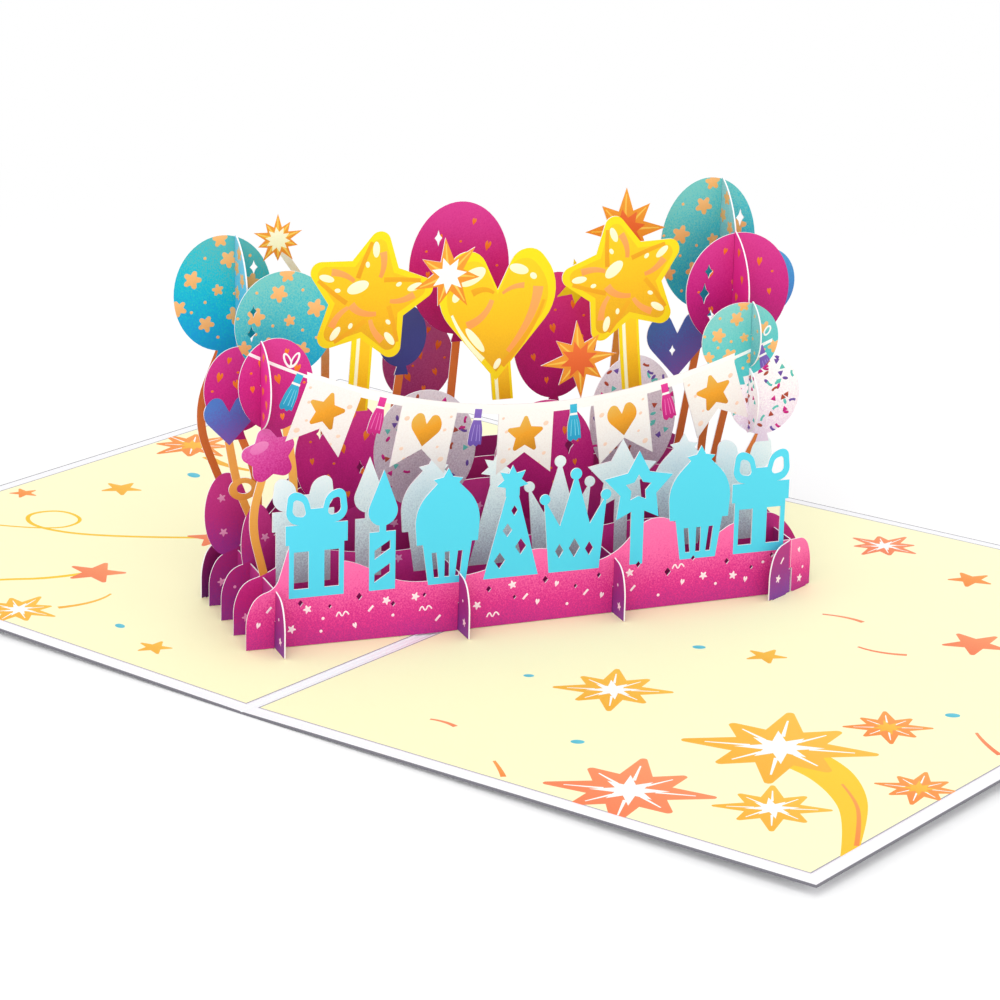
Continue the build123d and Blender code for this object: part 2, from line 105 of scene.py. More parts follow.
def card(name, colours, grain=0.3, lean=0.0, roughness=0.62):
    """Card printed with a blend of the colours, sprayed on with a grain from each motif's foot to its top.

    The blend leans to the left by the share lean of a motif's width.
    """
    material = bpy.data.materials.new(name)
    material.use_nodes = True
    shader = material.node_tree.nodes["Principled BSDF"]
    ink = Ink(material.node_tree)
    place = ink.node("ShaderNodeTexCoord", {}, {}, "Object")
    motif = ink.node("ShaderNodeUVMap", {"uv_map": "motif"}, {})
    across = ink.node("ShaderNodeSeparateXYZ", {}, {0: motif}, "X")
    up = ink.node("ShaderNodeSeparateXYZ", {}, {0: motif}, "Y")
    spray = ink.node("ShaderNodeTexNoise", {}, {"Vector": place, "Scale": 1 / GRAIN_SIZE, "Detail": 1.0})
    fibre = ink.node("ShaderNodeTexNoise", {}, {"Vector": place, "Scale": 1 / FIBRE_SIZE, "Detail": 4.0})
    mottle = ink.node("ShaderNodeTexNoise", {}, {"Vector": place, "Scale": 1 / MOTTLE_SIZE, "Detail": 3.0})
    blend = up + (0.5 - across) * lean + (spray - 0.5) * grain + (mottle - 0.5) * MOTTLE_SHARE
    printed = linear(colours[0])
    for i, colour in enumerate(colours[1:]):
        printed = ink.node("ShaderNodeMix", {"data_type": "RGBA", "clamp_factor": True},
                           {0: blend * (len(colours) - 1) - i, 6: printed, 7: linear(colour)}, 2)
    bump = ink.node("ShaderNodeBump", {},
                    {"Strength": FIBRE_STRENGTH, "Distance": FIBRE_DEPTH, "Height": fibre})
    sheen = (fibre - 0.5) * FIBRE_SHEEN + roughness
    ink.tree.links.new(printed.output, shader.inputs["Base Color"])
    ink.tree.links.new(sheen.output, shader.inputs["Roughness"])
    ink.tree.links.new(bump.output, shader.inputs["Normal"])
    shader.inputs["Specular IOR Level"].default_value = CARD_GLOSS
    return material


MM = 0.001
PANEL_WIDTH = 127.0
CARD_LENGTH = 177.8
PANEL_RISE = radians(0.97)
EDGE_SHADOW_WIDTH = 0.28


def paint_edge_shadow(material, half_width, half_length, colour):
    """Paints a thin grey shadow line along a card's outer edges: painted shade at the edge."""
    shader = material.node_tree.nodes["Principled BSDF"]
    ink = Ink(material.node_tree, shader.inputs["Base Color"].links[0].from_socket)
    place = ink.node("ShaderNodeVectorMath", {"operation": "ABSOLUTE"},
                     {0: ink.node("ShaderNodeTexCoord", {}, {}, "Object")})
    beside = ink.node("ShaderNodeSeparateXYZ", {}, {0: place}, "X") - (half_width - EDGE_SHADOW_WIDTH) * MM
    beyond = ink.node("ShaderNodeSeparateXYZ", {}, {0: place}, "Y") - (half_length - EDGE_SHADOW_WIDTH) * MM
    rim = ink.math("GREATER_THAN", ink.math("MAXIMUM", beside, beyond), 0.0)
    lined = ink.node("ShaderNodeMix", {"data_type": "RGBA"}, {0: rim, 6: ink, 7: linear(colour)}, 2)
    ink.tree.links.new(lined.output, shader.inputs["Base Color"])


WHITE_CARD = card("white_card", [(246, 246, 249), (251, 251, 253)])
# Painted shade: a thin grey shadow line along the cover's outer edges.
paint_edge_shadow(WHITE_CARD, PANEL_WIDTH * cos(PANEL_RISE), CARD_LENGTH / 2, (122, 120, 128))
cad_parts["cover"].data.materials.clear()
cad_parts["cover"].data.materials.append(WHITE_CARD)


# Liners: two sheets of cream paper, printed with bursts, stars and dashes, and glued inside the cover's
# halves. Each has two slits, where the tongues of the grid's tabs go in.

COVER_THICKNESS = 0.40
LINER_THICKNESS = 0.25
LINER_MARGIN = 3.2
LINER_EDGE_SHADE_WIDTH = 0.32
BARE_STRIP = 2.9
SHEET = 0.30
SLOT_PLAY = 0.10
SLOT = SHEET + 2 * SLOT_PLAY
ROW_ANGLE = radians(58.33)
ROW_PITCH = 8.64
ROWS = 5
CROSS_PLACES = (0.0, 37.8, 70.8, 109.8)
LAST_JOINT = CROSS_PLACES[-1]
GRID_DEPTH = (ROWS - 1) * ROW_PITCH
TAB_LENGTH = 7.4
TONGUE_WIDTH = 5.0
UP = Vector((0, 0, 1))
ALONG = Vector((cos(ROW_ANGLE), sin(ROW_ANGLE), 0))
BACKWARDS = Vector((-sin(ROW_ANGLE), cos(ROW_ANGLE), 0))
CREASEWISE = Vector((0, 1, 0))
FIRST_JOINT = Vector((-16.46, -60.38, COVER_THICKNESS))
RIGHT_HINGE = FIRST_JOINT + ALONG * LAST_JOINT
LEFT_HINGE = FIRST_JOINT + BACKWARDS * GRID_DEPTH

CUT_EDGE = card("cut_edge", [(244, 238, 244), (253, 250, 253)])

Field = namedtuple("Field", "line box ink host span")


def limits(line):
    """Left, low, right and high limits of a line."""
    return min(p.x for p in line), min(p.y for p in line), max(p.x for p in line), max(p.y for p in line)


def winds_about(field, spot):
    """Whether a field's closed line goes round a spot."""
    left, low, right, high = field.box
    if not (left < spot.x < right and low < spot.y < high):
        return False
    turns = 0
    for a, b in zip(field.line, field.line[1:] + field.line[:1]):
        if (a.y <= spot.y) != (b.y <= spot.y) and ((b - a).cross(spot - a) > 0) == (b.y > a.y):
            turns += 1 if b.y > a.y else -1
    return turns != 0


class Sheet:
    """A sheet on the press: parts lay down stock, marks print on the part before them, and cuts are punched.

    The ink of a field blends over the field's own limits, or over a given span.
    """

    def __init__(self):
        self.fields = []
        self.host = None

    def part(self, line, ink, span=None):
        self.host = len(self.fields)
        self.fields.append(Field(line, limits(line), ink, None, span or limits(line)))

    def mark(self, line, ink, span=None):
        self.fields.append(Field(line, limits(line), ink, self.host, span or limits(line)))

    def cut(self, line):
        self.fields.append(Field(line, limits(line), None, None, None))

    def top_field(self, spot):
        """The field that shows at a spot, or None where nothing is left."""
        here = [i for i, field in enumerate(self.fields) if winds_about(field, spot)]
        parts = [i for i in here if self.fields[i].ink and self.fields[i].host is None]
        if not parts or any(self.fields[i].ink is None for i in here):
            return None
        return self.fields[max((i for i in here if self.fields[i].host == parts[-1]), default=parts[-1])]

    def stand(self, bm, inks, place, thickness):
        """Punches the sheet out of stock, with its middle in the plane of place, and adds it to a mesh."""
        corners, edges = [], []
        for field in self.fields:
            last = len(corners) + len(field.line) - 1
            edges += [(i, i + 1) for i in range(len(corners), last)] + [(last, len(corners))]
            corners += field.line
        spots, _, cells, *_ = delaunay_2d_cdt(corners, edges, [], 0, 0.0002, False)
        motif = bm.loops.layers.uv.verify()
        others = set(bm.faces)
        points, faces = {}, []
        for cell in cells:
            field = self.top_field((spots[cell[0]] + spots[cell[1]] + spots[cell[2]]) / 3)
            if field is None:
                continue
            left, low, right, high = field.span
            for i in cell:
                if i not in points:
                    points[i] = bm.verts.new(place @ Vector((*spots[i], -thickness / 2)) * MM)
            face = bm.faces.new([points[i] for i in cell])
            face.material_index = inks.index(field.ink)
            for loop, i in zip(face.loops, cell):
                loop[motif].uv = (spots[i].x - left) / (right - left), (spots[i].y - low) / (high - low)
            faces.append(face)
        grown = bmesh.ops.extrude_face_region(bm, geom=faces, use_keep_orig=True)["geom"]
        normal = place.to_3x3().col[2]
        bmesh.ops.translate(bm, verts=[v for v in grown if isinstance(v, bmesh.types.BMVert)],
                            vec=normal * thickness * MM)
        bmesh.ops.reverse_faces(bm, faces=faces)
        for face in set(bm.faces) - others:
            face.normal_update()
            if abs(face.normal.dot(normal)) < 0.5:
                face.material_index = inks.index(CUT_EDGE)


def placed(name, data):
    """New object in the scene."""
    thing = bpy.data.objects.new(name, data)
    bpy.context.scene.collection.objects.link(thing)
    return thing


def die_cut(node, sheets, thickness=SHEET):
    """Makes one piece from sheets and the planes that they lie in, in place of a frame node."""
    printed = [field.ink for sheet, _ in sheets for field in sheet.fields if field.ink]
    inks = list(dict.fromkeys([CUT_EDGE, *printed]))
    bm = bmesh.new()
    bm.loops.layers.uv.new("motif")
    for sheet, place in sheets:
        sheet.stand(bm, inks, place, thickness)
    mesh = bpy.data.meshes.new(node + "_sheet")
    bm.to_mesh(mesh)
    bm.free()
    for ink in inks:
        mesh.materials.append(ink)
    piece = placed(node + "_sheet", mesh)
    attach(piece, "root")
    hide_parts(node)


def wound(points):
    """The points as a line without doubles that runs anticlockwise."""
    line = [p for i, p in enumerate(points) if (p - points[i - 1]).length > 0.001]
    area = sum(a.cross(b) for a, b in zip(line, line[1:] + line[:1]))
    return line if area > 0 else line[::-1]


def bend(start, pull, end, steps, weight=1.0):
    """Curve from start to end, pulled to a corner by a weight; the sine of half the corner makes an arc."""
    line = []
    for k in range(steps + 1):
        t = k / steps
        shares = (1 - t) ** 2, 2 * t * (1 - t) * weight, t ** 2
        line.append((start * shares[0] + pull * shares[1] + end * shares[2]) / sum(shares))
    return line


def outline(points, soft=0.0, steps=8):
    """Closed line with corners at the points, rounded over a share of an edge: soft, or a point's own."""
    places = [Vector(p[:2]) for p in points]
    shares = [p[2] if len(p) == 3 else soft for p in points]
    line = []
    for i, here in enumerate(places):
        back, on = places[i - 1] - here, places[(i + 1) % len(places)] - here
        reach = shares[i] * min(back.length, on.length)
        if reach:
            line += bend(here + back.normalized() * reach, here, here + on.normalized() * reach, steps,
                         sin(back.angle(on) / 2))
        else:
            line.append(here)
    return wound(line)


def box(left, low, right, high):
    return outline([(left, low), (right, low), (right, high), (left, high)])


def oval(x, y, half_width, half_height, turn=0.0, steps=60):
    spin = Matrix.Rotation(radians(turn), 2)
    ring = [2 * pi * k / steps for k in range(steps)]
    return [Vector((x, y)) + spin @ Vector((half_width * cos(a), half_height * sin(a))) for a in ring]


def star(x, y, tips, radius, waist, turn=0.0, short=1.0, blunt=0.0):
    """Star, turned anticlockwise, with every other tip at short times the radius; blunt tips are round."""
    points = []
    for i in range(2 * tips):
        angle = pi / 2 + radians(turn) + i * pi / tips
        out = Vector((cos(angle), sin(angle)))
        side = Vector((-sin(angle), cos(angle))) * blunt / 2
        reach = radius * (short if i % 4 else 1.0)
        if i % 2:
            points.append((x + out.x * waist, y + out.y * waist))
        elif blunt:
            points += [(x + p.x, y + p.y, 0.5) for p in (out * reach - side, out * reach + side)]
        else:
            points.append((x + out.x * reach, y + out.y * reach))
    return outline(points, 0.0, 5)


def stroke(points, start, end, steps=9):
    """Brush stroke along a smooth line, from its starting width to its width at the end."""
    route = [Vector(p) for p in points]
    ends = [route[0], *(a.lerp(b, 0.5) for a, b in zip(route[1:-2], route[2:-1])), route[-1]]
    line = [route[0]]
    for a, pull, b in zip(ends, route[1:-1], ends[1:]):
        line += bend(a, pull, b, steps)[1:]
    sides = [], []
    for i, p in enumerate(line):
        way = (line[min(i + 1, len(line) - 1)] - line[max(i - 1, 0)]).normalized()
        half = (start + (end - start) * i / (len(line) - 1)) / 2
        sides[0].append(p + way.orthogonal() * half)
        sides[1].append(p - way.orthogonal() * half)
    return wound(sides[0] + sides[1][::-1])


CREAM = card("cream_print", [(253, 250, 203), (255, 252, 209)])
# Painted shade: grey for a thin line along each liner's edges, standing in for the shade at its cut edge.
LINER_EDGE_SHADE = card("liner_edge_shade", [(160, 157, 166), (176, 173, 182)])
GOLD_PRINT = card("gold_print", [(243, 176, 50), (250, 194, 70)])
YELLOW_PRINT = card("yellow_print", [(242, 194, 34), (248, 206, 46)])
CORAL_PRINT = card("coral_print", [(242, 126, 82), (248, 152, 102)])
ORANGE_PRINT = card("orange_print", [(243, 138, 60), (248, 162, 80)])
SKY_PRINT = card("sky_print", [(78, 184, 208), (104, 202, 218)])
BARE_PRINT = card("bare_print", [(253, 252, 246), (255, 255, 251)])

RAYS = 8
SHORT_RAY = 0.8
RAY_WAIST = 0.5
RAY_TIP = 0.07
CORE_TIP = 0.46
CORE_WAIST = 0.18


def print_burst(sheet, x, y, radius, ink, core=BARE_PRINT, turn=0.0):
    """Fireworks burst: long and short rays about a small core, each ray with a thin bare line along it."""
    sheet.mark(star(x, y, RAYS, radius, radius * RAY_WAIST, turn, SHORT_RAY, radius * RAY_TIP), ink)
    for k in range(RAYS):
        angle = pi / 2 + radians(turn) + 2 * pi * k / RAYS
        way = Vector((cos(angle), sin(angle))) * radius * (SHORT_RAY if k % 2 else 1.0)
        line = [Vector((x, y)) + way * share for share in (0.3, 0.5, 0.76)]
        sheet.mark(stroke(line, radius * 0.045, radius * 0.02, 3), BARE_PRINT)
    sheet.mark(star(x, y, RAYS, radius * CORE_TIP, radius * CORE_WAIST, turn + 8, SHORT_RAY), core)


def print_star(sheet, x, y, radius, ink, turn=0.0):
    sheet.mark(star(x, y, 5, radius, radius * 0.46, turn, 1.0, radius * 0.12), ink)


def liner(side):
    """One half's blank, its slits and the plane that it lies in."""
    sheet = Sheet()
    inner, outer = side * BARE_STRIP / 2, side * (PANEL_WIDTH - LINER_MARGIN)
    reach = CARD_LENGTH / 2 - LINER_MARGIN
    left, right = min(inner, outer), max(inner, outer)
    sheet.part(box(left, -reach, right, reach), CREAM)
    # Painted shade: a thin grey line along the liner's four edges.
    for line in (box(left, -reach, left + LINER_EDGE_SHADE_WIDTH, reach),
                 box(right - LINER_EDGE_SHADE_WIDTH, -reach, right, reach),
                 box(left, -reach, right, LINER_EDGE_SHADE_WIDTH - reach),
                 box(left, reach - LINER_EDGE_SHADE_WIDTH, right, reach)):
        sheet.mark(line, LINER_EDGE_SHADE)
    hinge = RIGHT_HINGE if side > 0 else LEFT_HINGE
    for way in (-1, 1):
        x, y = hinge.x / cos(PANEL_RISE), hinge.y + way * TAB_LENGTH / 2
        wide, long = SLOT / 2, TONGUE_WIDTH / 2 + SLOT_PLAY
        sheet.cut(box(x - wide, y - long, x + wide, y + long))
    across = Vector((cos(PANEL_RISE), 0, side * sin(PANEL_RISE)))
    lift = (COVER_THICKNESS + LINER_THICKNESS / 2) / cos(PANEL_RISE)
    turned = Matrix((across, CREASEWISE, across.cross(CREASEWISE))).transposed().to_4x4()
    return sheet, Matrix.Translation(UP * lift) @ turned


right_liner, right_place = liner(1)
print_burst(right_liner, 47, -36, 11.5, GOLD_PRINT, turn=32)
print_burst(right_liner, 79, -75, 15.5, CORAL_PRINT, turn=26)
right_liner.mark(stroke([(88, -42), (98, -43.5), (109, -51), (117.5, -61.5), (126, -78)], 11.0, 2.6),
                 YELLOW_PRINT)
right_liner.mark(stroke([(106.4, -48.9), (112, -53.4), (117.5, -60.4), (123.4, -71)], 0.5, 0.9),
                 ORANGE_PRINT)
print_burst(right_liner, 98, -20, 8.4, ORANGE_PRINT, GOLD_PRINT, turn=36)
print_burst(right_liner, 88, -41, 18.0, GOLD_PRINT, turn=27)
print_burst(right_liner, 103, -66, 10.5, GOLD_PRINT, turn=33)
print_burst(right_liner, 118, -42, 8.0, ORANGE_PRINT, GOLD_PRINT, turn=22)
print_star(right_liner, 59, -2, 4.2, GOLD_PRINT, 8)
print_star(right_liner, 87, 30, 6.6, CORAL_PRINT, -10)
print_star(right_liner, 113, 10, 3.4, GOLD_PRINT, 20)
print_star(right_liner, 66, 64, 4.8, ORANGE_PRINT, -16)
print_burst(right_liner, 104, 64, 11.5, GOLD_PRINT, turn=18)
print_burst(right_liner, 40, 72, 8.2, CORAL_PRINT, turn=-3)
for route, ink in (([(112, -12), (116, -16), (121, -19)], CORAL_PRINT),
                   ([(30, -70), (33, -69), (36, -70)], CORAL_PRINT),
                   ([(52, -79), (56, -82), (58, -84)], ORANGE_PRINT),
                   ([(54, 26), (59, 28), (63, 27)], CORAL_PRINT),
                   ([(88, 74), (84, 69), (86, 62)], GOLD_PRINT),
                   ([(70, 14), (75, 13), (80, 16)], CORAL_PRINT)):
    right_liner.mark(stroke(route, 0.6, 1.1), ink)
for x, y, radius in ((58, -62, 1.0), (104, -7, 1.1), (46, -6, 1.0), (30, -40, 0.8), (92, 50, 1.1),
                     (118, 40, 0.9)):
    right_liner.mark(oval(x, y, radius * 1.3, radius, 30), SKY_PRINT)
die_cut("right_liner", [(right_liner, right_place)], LINER_THICKNESS)

left_liner, left_place = liner(-1)
left_liner.mark(stroke([(-73, -54), (-76, -62), (-84, -70), (-96, -88)], 1.3, 0.9), YELLOW_PRINT)
print_star(left_liner, -72, -53, 6.2, CORAL_PRINT, 24)
left_liner.mark(stroke([(-70, -21), (-86, -36), (-101, -42), (-109, -37), (-105, -29), (-96, -31),
                        (-97, -41), (-112, -48)], 1.1, 0.7, 12), YELLOW_PRINT)
print_star(left_liner, -69, -20, 6.0, CORAL_PRINT, -20)
print_star(left_liner, -106, -10, 4.6, GOLD_PRINT, 10)
print_star(left_liner, -119, -27, 3.2, ORANGE_PRINT, -8)
print_burst(left_liner, -68, -79, 8.4, GOLD_PRINT, turn=14)
left_liner.mark(stroke([(-63, -73), (-59, -66), (-61, -60)], 1.2, 0.5), GOLD_PRINT)
print_burst(left_liner, -116, 24, 10.5, ORANGE_PRINT, GOLD_PRINT, turn=-8)
left_liner.mark(stroke([(-108, 20), (-98, 16), (-88, 22)], 2.6, 0.8), GOLD_PRINT)
print_burst(left_liner, -58, 52, 12, GOLD_PRINT, turn=6)
print_burst(left_liner, -98, 64, 9.5, CORAL_PRINT, turn=16)
print_star(left_liner, -30, 72, 5.2, ORANGE_PRINT, 12)
print_star(left_liner, -84, 34, 4.0, CORAL_PRINT, -12)
print_star(left_liner, -34, -76, 3.6, GOLD_PRINT, 18)
for route, ink in (([(-40, 30), (-46, 38), (-42, 46)], CORAL_PRINT),
                   ([(-112, 76), (-118, 70), (-116, 62)], GOLD_PRINT),
                   ([(-78, 4), (-83, 8), (-88, 6)], CORAL_PRINT)):
    left_liner.mark(stroke(route, 0.6, 1.1), ink)
for x, y, radius in ((-101, 8, 1.3), (-47, -72, 0.9), (-90, -76, 0.9), (-76, 72, 1.1), (-120, 44, 1.0),
                     (-24, 48, 0.9)):
    left_liner.mark(oval(x, y, radius * 1.4, radius, -20), SKY_PRINT)
die_cut("left_liner", [(left_liner, left_place)], LINER_THICKNESS)


# Front row: a sheet printed as a pink hill, under flat light-blue party silhouettes. Specks are punched
# through the hill. Past the last cross slice it is bent along the crease, and stands in a slit as a tab.

CROSS_HEIGHT = 12.4
HALF_HEIGHT = CROSS_HEIGHT / 2
ROW_OVERHANG = 6.0
ARCH_SPRING = 7.6
ARCH_SHOULDER = 11.7
ARCH_INSET = 2.0
BED_GAP = 0.15
BEND_ROOM = 0.6
MOTIF_FOOT = 10.5
MOTIF_FIRST = 8.2
MOTIF_PITCH = 13.45
SPECK_SHARE = 0.8
LEFT_END = [(-ROW_OVERHANG, ARCH_SPRING), (ARCH_INSET - ROW_OVERHANG, ARCH_SHOULDER),
            (0, CROSS_HEIGHT + 0.3)]
RIGHT_EDGE = LAST_JOINT + ROW_OVERHANG

HILL_PINK = card("hill_pink", [(178, 40, 136), (222, 46, 142), (247, 100, 170), (251, 116, 180)], 0.7)
LIGHT_BLUE = card("light_blue", [(80, 210, 242), (86, 216, 246)])
FLECK = card("fleck", [(252, 218, 234), (255, 240, 247)])


def upright(origin, along):
    """Plane of a standing sheet: along it, up, and out of its face."""
    return Matrix.Translation(origin) @ Matrix((along, UP, along.cross(UP))).transposed().to_4x4()


def row_place(index):
    return upright(FIRST_JOINT + BACKWARDS * (index * ROW_PITCH), ALONG)


def bed_height(x):
    """Height of the standing sheets' feet above the crease, at a distance from it."""
    stack = COVER_THICKNESS + LINER_THICKNESS + BED_GAP
    return stack / cos(PANEL_RISE) - COVER_THICKNESS + abs(x) * tan(PANEL_RISE)


def trim_foot(sheet, place, left, right):
    """Cuts the sheet's foot to the open halves, just clear of the liners."""
    origin, along = place.translation.x, place.to_3x3().col[0].x
    crease = min(max(-origin / along, left), right)
    feet = [(u, bed_height(origin + along * u)) for u in (right, crease, left)]
    sheet.cut(outline([(left, -HALF_HEIGHT), (right, -HALF_HEIGHT), *feet]))


def hill(ridge, left, right):
    return outline([(left, -1, 0.0), (right, -1, 0.0), *reversed(ridge)], 0.5)


def diamond(x, y, half_width, half_height):
    return outline([(x - half_width, y), (x, y - half_height), (x + half_width, y), (x, y + half_height)])


def heart(x, y, half_width, half_height, turn=0.0, steps=8):
    shape = [(0, 0.5, 0.0), (0.46, 1.45), (1.26, 0.45), (0, -1.0, 0.0), (-1.26, 0.45), (-0.46, 1.45)]
    line = outline([(half_width * u, half_height * v, *share) for u, v, *share in shape], 0.5, steps)
    return [Vector((x, y)) + Matrix.Rotation(radians(turn), 2) @ p for p in line]


def gift():
    loop = [(0.4, 14.6, 0.0), (6.5, 15.2), (5.7, 22.0), (2.0, 21.0)]
    hole = [(2.0, 16.3), (5.0, 16.8), (4.7, 20.2), (2.8, 19.6)]
    loops = [outline([(side * u, v, *share) for u, v, *share in loop], 0.45) for side in (-1, 1)]
    holes = [outline([(side * u, v) for u, v in hole], 0.4) for side in (-1, 1)]
    windows = [box(side * 3.1 - 1.5, 1.8, side * 3.1 + 1.5, 9.4) for side in (-1, 1)]
    parts = [box(-5.6, 0, 5.6, 11.6), box(-6.3, 10.9, 6.3, 14.9), box(-1.3, 14, 1.3, 18), *loops]
    return parts, windows + holes


def candle():
    flame = [(0.2, 24.6, 0.0), (4.4, 13.2), (-4.4, 13.2)]
    stripe = [(-1.6, 0), (1.6, 2), (1.6, 3.8), (-1.6, 1.8)]
    stripes = [outline([(u, low + v) for u, v in stripe]) for low in (1.6, 6.4)]
    return [box(-2.7, 0, 2.7, 12), box(-0.7, 11.5, 0.7, 14.5), outline(flame, 0.5)], stripes


def cupcake():
    parts = [outline([(-3.9, 0), (3.9, 0), (5.2, 9), (-5.2, 9)]),
             outline([(-6.4, 8.4, 0.0), (6.4, 8.4, 0.0), (6.9, 16), (0, 23, 0.0), (-6.9, 16)], 0.5),
             star(0, 20.6, 5, 3.2, 1.7)]
    pleats = [outline([(u - 0.5, 1.4), (u + 0.5, 1.4), (1.25 * u + 0.5, 6.6), (1.25 * u - 0.5, 6.6)])
              for u in (-2.2, 0, 2.2)]
    return parts, pleats


def party_hat():
    parts = [outline([(-5.8, 0), (5.8, 0), (0.6, 19.6), (-0.6, 19.6)]), star(0, 19.8, 7, 3.4, 1.9)]
    dots = (-2.4, 3.6, 1.2, 1.7), (2.0, 6.2, 1.2, 1.7), (-0.9, 9.8, 1.0, 1.4), (0.5, 13.8, 0.7, 1.1)
    return parts, [diamond(*dot) for dot in dots]


def crown():
    spikes = [(-5.4, 0), (5.4, 0), (6.7, 15.5), (3.2, 9.6), (0, 20.5), (-3.2, 9.6), (-6.7, 15.5)]
    jewels = (-3.2, 4.4, 0.9, 1.5), (0, 4.8, 1.2, 2.0), (3.2, 4.4, 0.9, 1.5)
    balls = (-6.5, 15.4, 1.1), (0, 20.2, 1.2), (6.5, 15.4, 1.1)
    parts = [outline(spikes), *(oval(x, y, r, r) for x, y, r in balls)]
    return parts, [diamond(*jewel) for jewel in jewels]


def wand():
    return [box(-1.4, 0, 1.4, 12), star(0, 16, 5, 7.8, 4.1)], [star(0, 16, 5, 2.9, 1.6)]


def add_silhouettes(sheet, ink, windowed):
    """Adds the eight party silhouettes along a row, with or without their windows."""
    for i, motif in enumerate((gift, candle, cupcake, party_hat, crown, wand, cupcake, gift)):
        shift = Vector((MOTIF_FIRST + i * MOTIF_PITCH, MOTIF_FOOT))
        parts, windows = motif()
        span = limits([p + shift for line in parts for p in line])
        for line in parts:
            sheet.part([p + shift for p in line], ink, span)
        for line in windows if windowed else ():
            sheet.cut([p + shift for p in line])


DASH = [(-0.5, -0.5), (0, 0.1), (0.5, 0.6)]
WAVE = [(-1.3, -0.5), (-0.8, 0.9), (-0.1, -0.9), (0.6, 0.9), (1.3, -0.3)]


def flecks(sheet, ink, spots):
    """Prints small flecks at their places: stars, hearts, dots, dashes and waves."""
    for x, y, kind in spots:
        if kind == "star":
            sheet.mark(star(x, y, 5, 0.9, 0.46, 37 * x, 1.0, 0.2), ink)
        elif kind == "heart":
            sheet.mark(heart(x, y, 0.42, 0.6, 20 * sin(9 * x), 4), ink)
        elif kind == "dot":
            sheet.mark(oval(x, y, 0.32, 0.32, 0, 12), ink)
        elif kind == "dash":
            sheet.mark(stroke([(x + u, y + v) for u, v in DASH], 0.45, 0.45, 4), ink)
        else:
            sheet.mark(stroke([(x + u, y + v) for u, v in WAVE], 0.3, 0.3, 5), ink)


def quarter_arch(width, foot):
    """Rounded end of a sheet, from its full height at zero to its foot at width."""
    return outline([(0, foot, 0.0), (width, foot, 0.0), (width, ARCH_SPRING),
                    (width - ARCH_INSET, ARCH_SHOULDER), (0, CROSS_HEIGHT, 0.0)], 0.5)


def cut_slot(sheet, place, low, high, half=SLOT / 2):
    """Cuts an upright slot at a place along a sheet."""
    sheet.cut(box(place - half, low, place + half, high))


def bent_tab(hinge, way, ink, low, high):
    """End of a sheet past its bend, with a tongue for a slit, and room at the bend from low to high."""
    sheet = Sheet()
    foot, tongue = bed_height(hinge.x), abs(hinge.x) * tan(PANEL_RISE)
    left, right = TAB_LENGTH / 2 - TONGUE_WIDTH / 2, TAB_LENGTH / 2 + TONGUE_WIDTH / 2
    for line in (box(left, tongue, right, HALF_HEIGHT), quarter_arch(TAB_LENGTH, foot)):
        sheet.part(wound([Vector((way * p.x, p.y)) for p in line]), ink)
    cut_slot(sheet, 0, low, high, BEND_ROOM)
    return sheet, upright(hinge, CREASEWISE)


def slot_row(sheet, places):
    """Cuts the slots that run from a row's foot to half height, for the cross slices."""
    for place in places:
        cut_slot(sheet, place, -HALF_HEIGHT, HALF_HEIGHT + SLOT_PLAY)


front_ridge = LEFT_END + [(3.5, 24), (9, 18), (16, 17), (25, 11.5), (35, 11.2), (45, 12.5), (55, 17.2),
                          (64, 11.3), (71, 13), (80, 23), (89, 12.5), (99, 19), (106, CROSS_HEIGHT),
                          (LAST_JOINT, CROSS_HEIGHT, 0.0)]
front_row = Sheet()
front_row.part(hill(front_ridge, -ROW_OVERHANG, LAST_JOINT), HILL_PINK, (-ROW_OVERHANG, -1, LAST_JOINT, 20))
flecks(front_row, FLECK, ((-3.6, 5.6, "heart"), (-1.4, 8.6, "dash"), (3.2, 4.2, "star"), (6.4, 8.0, "star"),
                          (9.6, 5.8, "dot"), (9.2, 3.2, "dot"), (13.6, 6.4, "wave"), (16.2, 3.6, "heart"),
                          (19.4, 6.8, "dash"), (22.6, 8.2, "star"), (24.0, 5.0, "dot"), (28.6, 8.4, "star"),
                          (30.8, 5.8, "wave"), (33.4, 3.4, "dash"), (41.6, 5.2, "star"),
                          (45.0, 3.0, "wave"), (49.0, 8.8, "star"), (51.8, 6.0, "dash"),
                          (54.4, 4.6, "heart"), (58.4, 8.0, "heart"), (60.8, 3.6, "dot"),
                          (64.8, 5.6, "dash"), (68.2, 4.6, "heart"), (74.2, 8.8, "star"),
                          (75.0, 5.4, "dash"), (80.6, 3.4, "dot"), (84.8, 9.2, "wave"),
                          (85.8, 5.6, "heart"), (90.4, 6.6, "star"), (93.2, 4.6, "dot"),
                          (97.0, 6.0, "star"), (99.8, 4.8, "heart"), (103.6, 8.2, "dot"),
                          (106.8, 5.2, "dash")))
add_silhouettes(front_row, LIGHT_BLUE, True)
for x, y, radius in ((5, 9.4, 0.7), (11, 8.2, 0.5), (17, 9.6, 0.8), (24, 7.4, 0.6), (30.5, 8.6, 0.5),
                     (44, 8.4, 0.7), (49.5, 6.2, 0.5), (56, 9.2, 0.8), (62.5, 7.2, 0.5), (67.5, 9, 0.6),
                     (76, 10.4, 0.7), (82.5, 8.2, 0.9), (88, 10.6, 0.6), (95.5, 9.2, 0.7), (101, 7.4, 0.5),
                     (105.5, 9.6, 0.6)):
    front_row.cut(diamond(x, y, radius * SPECK_SHARE, radius))
slot_row(front_row, CROSS_PLACES[:-1])
cut_slot(front_row, LAST_JOINT, -HALF_HEIGHT, HALF_HEIGHT + SLOT_PLAY, BEND_ROOM)
trim_foot(front_row, row_place(0), -2 * ROW_OVERHANG, RIGHT_EDGE)
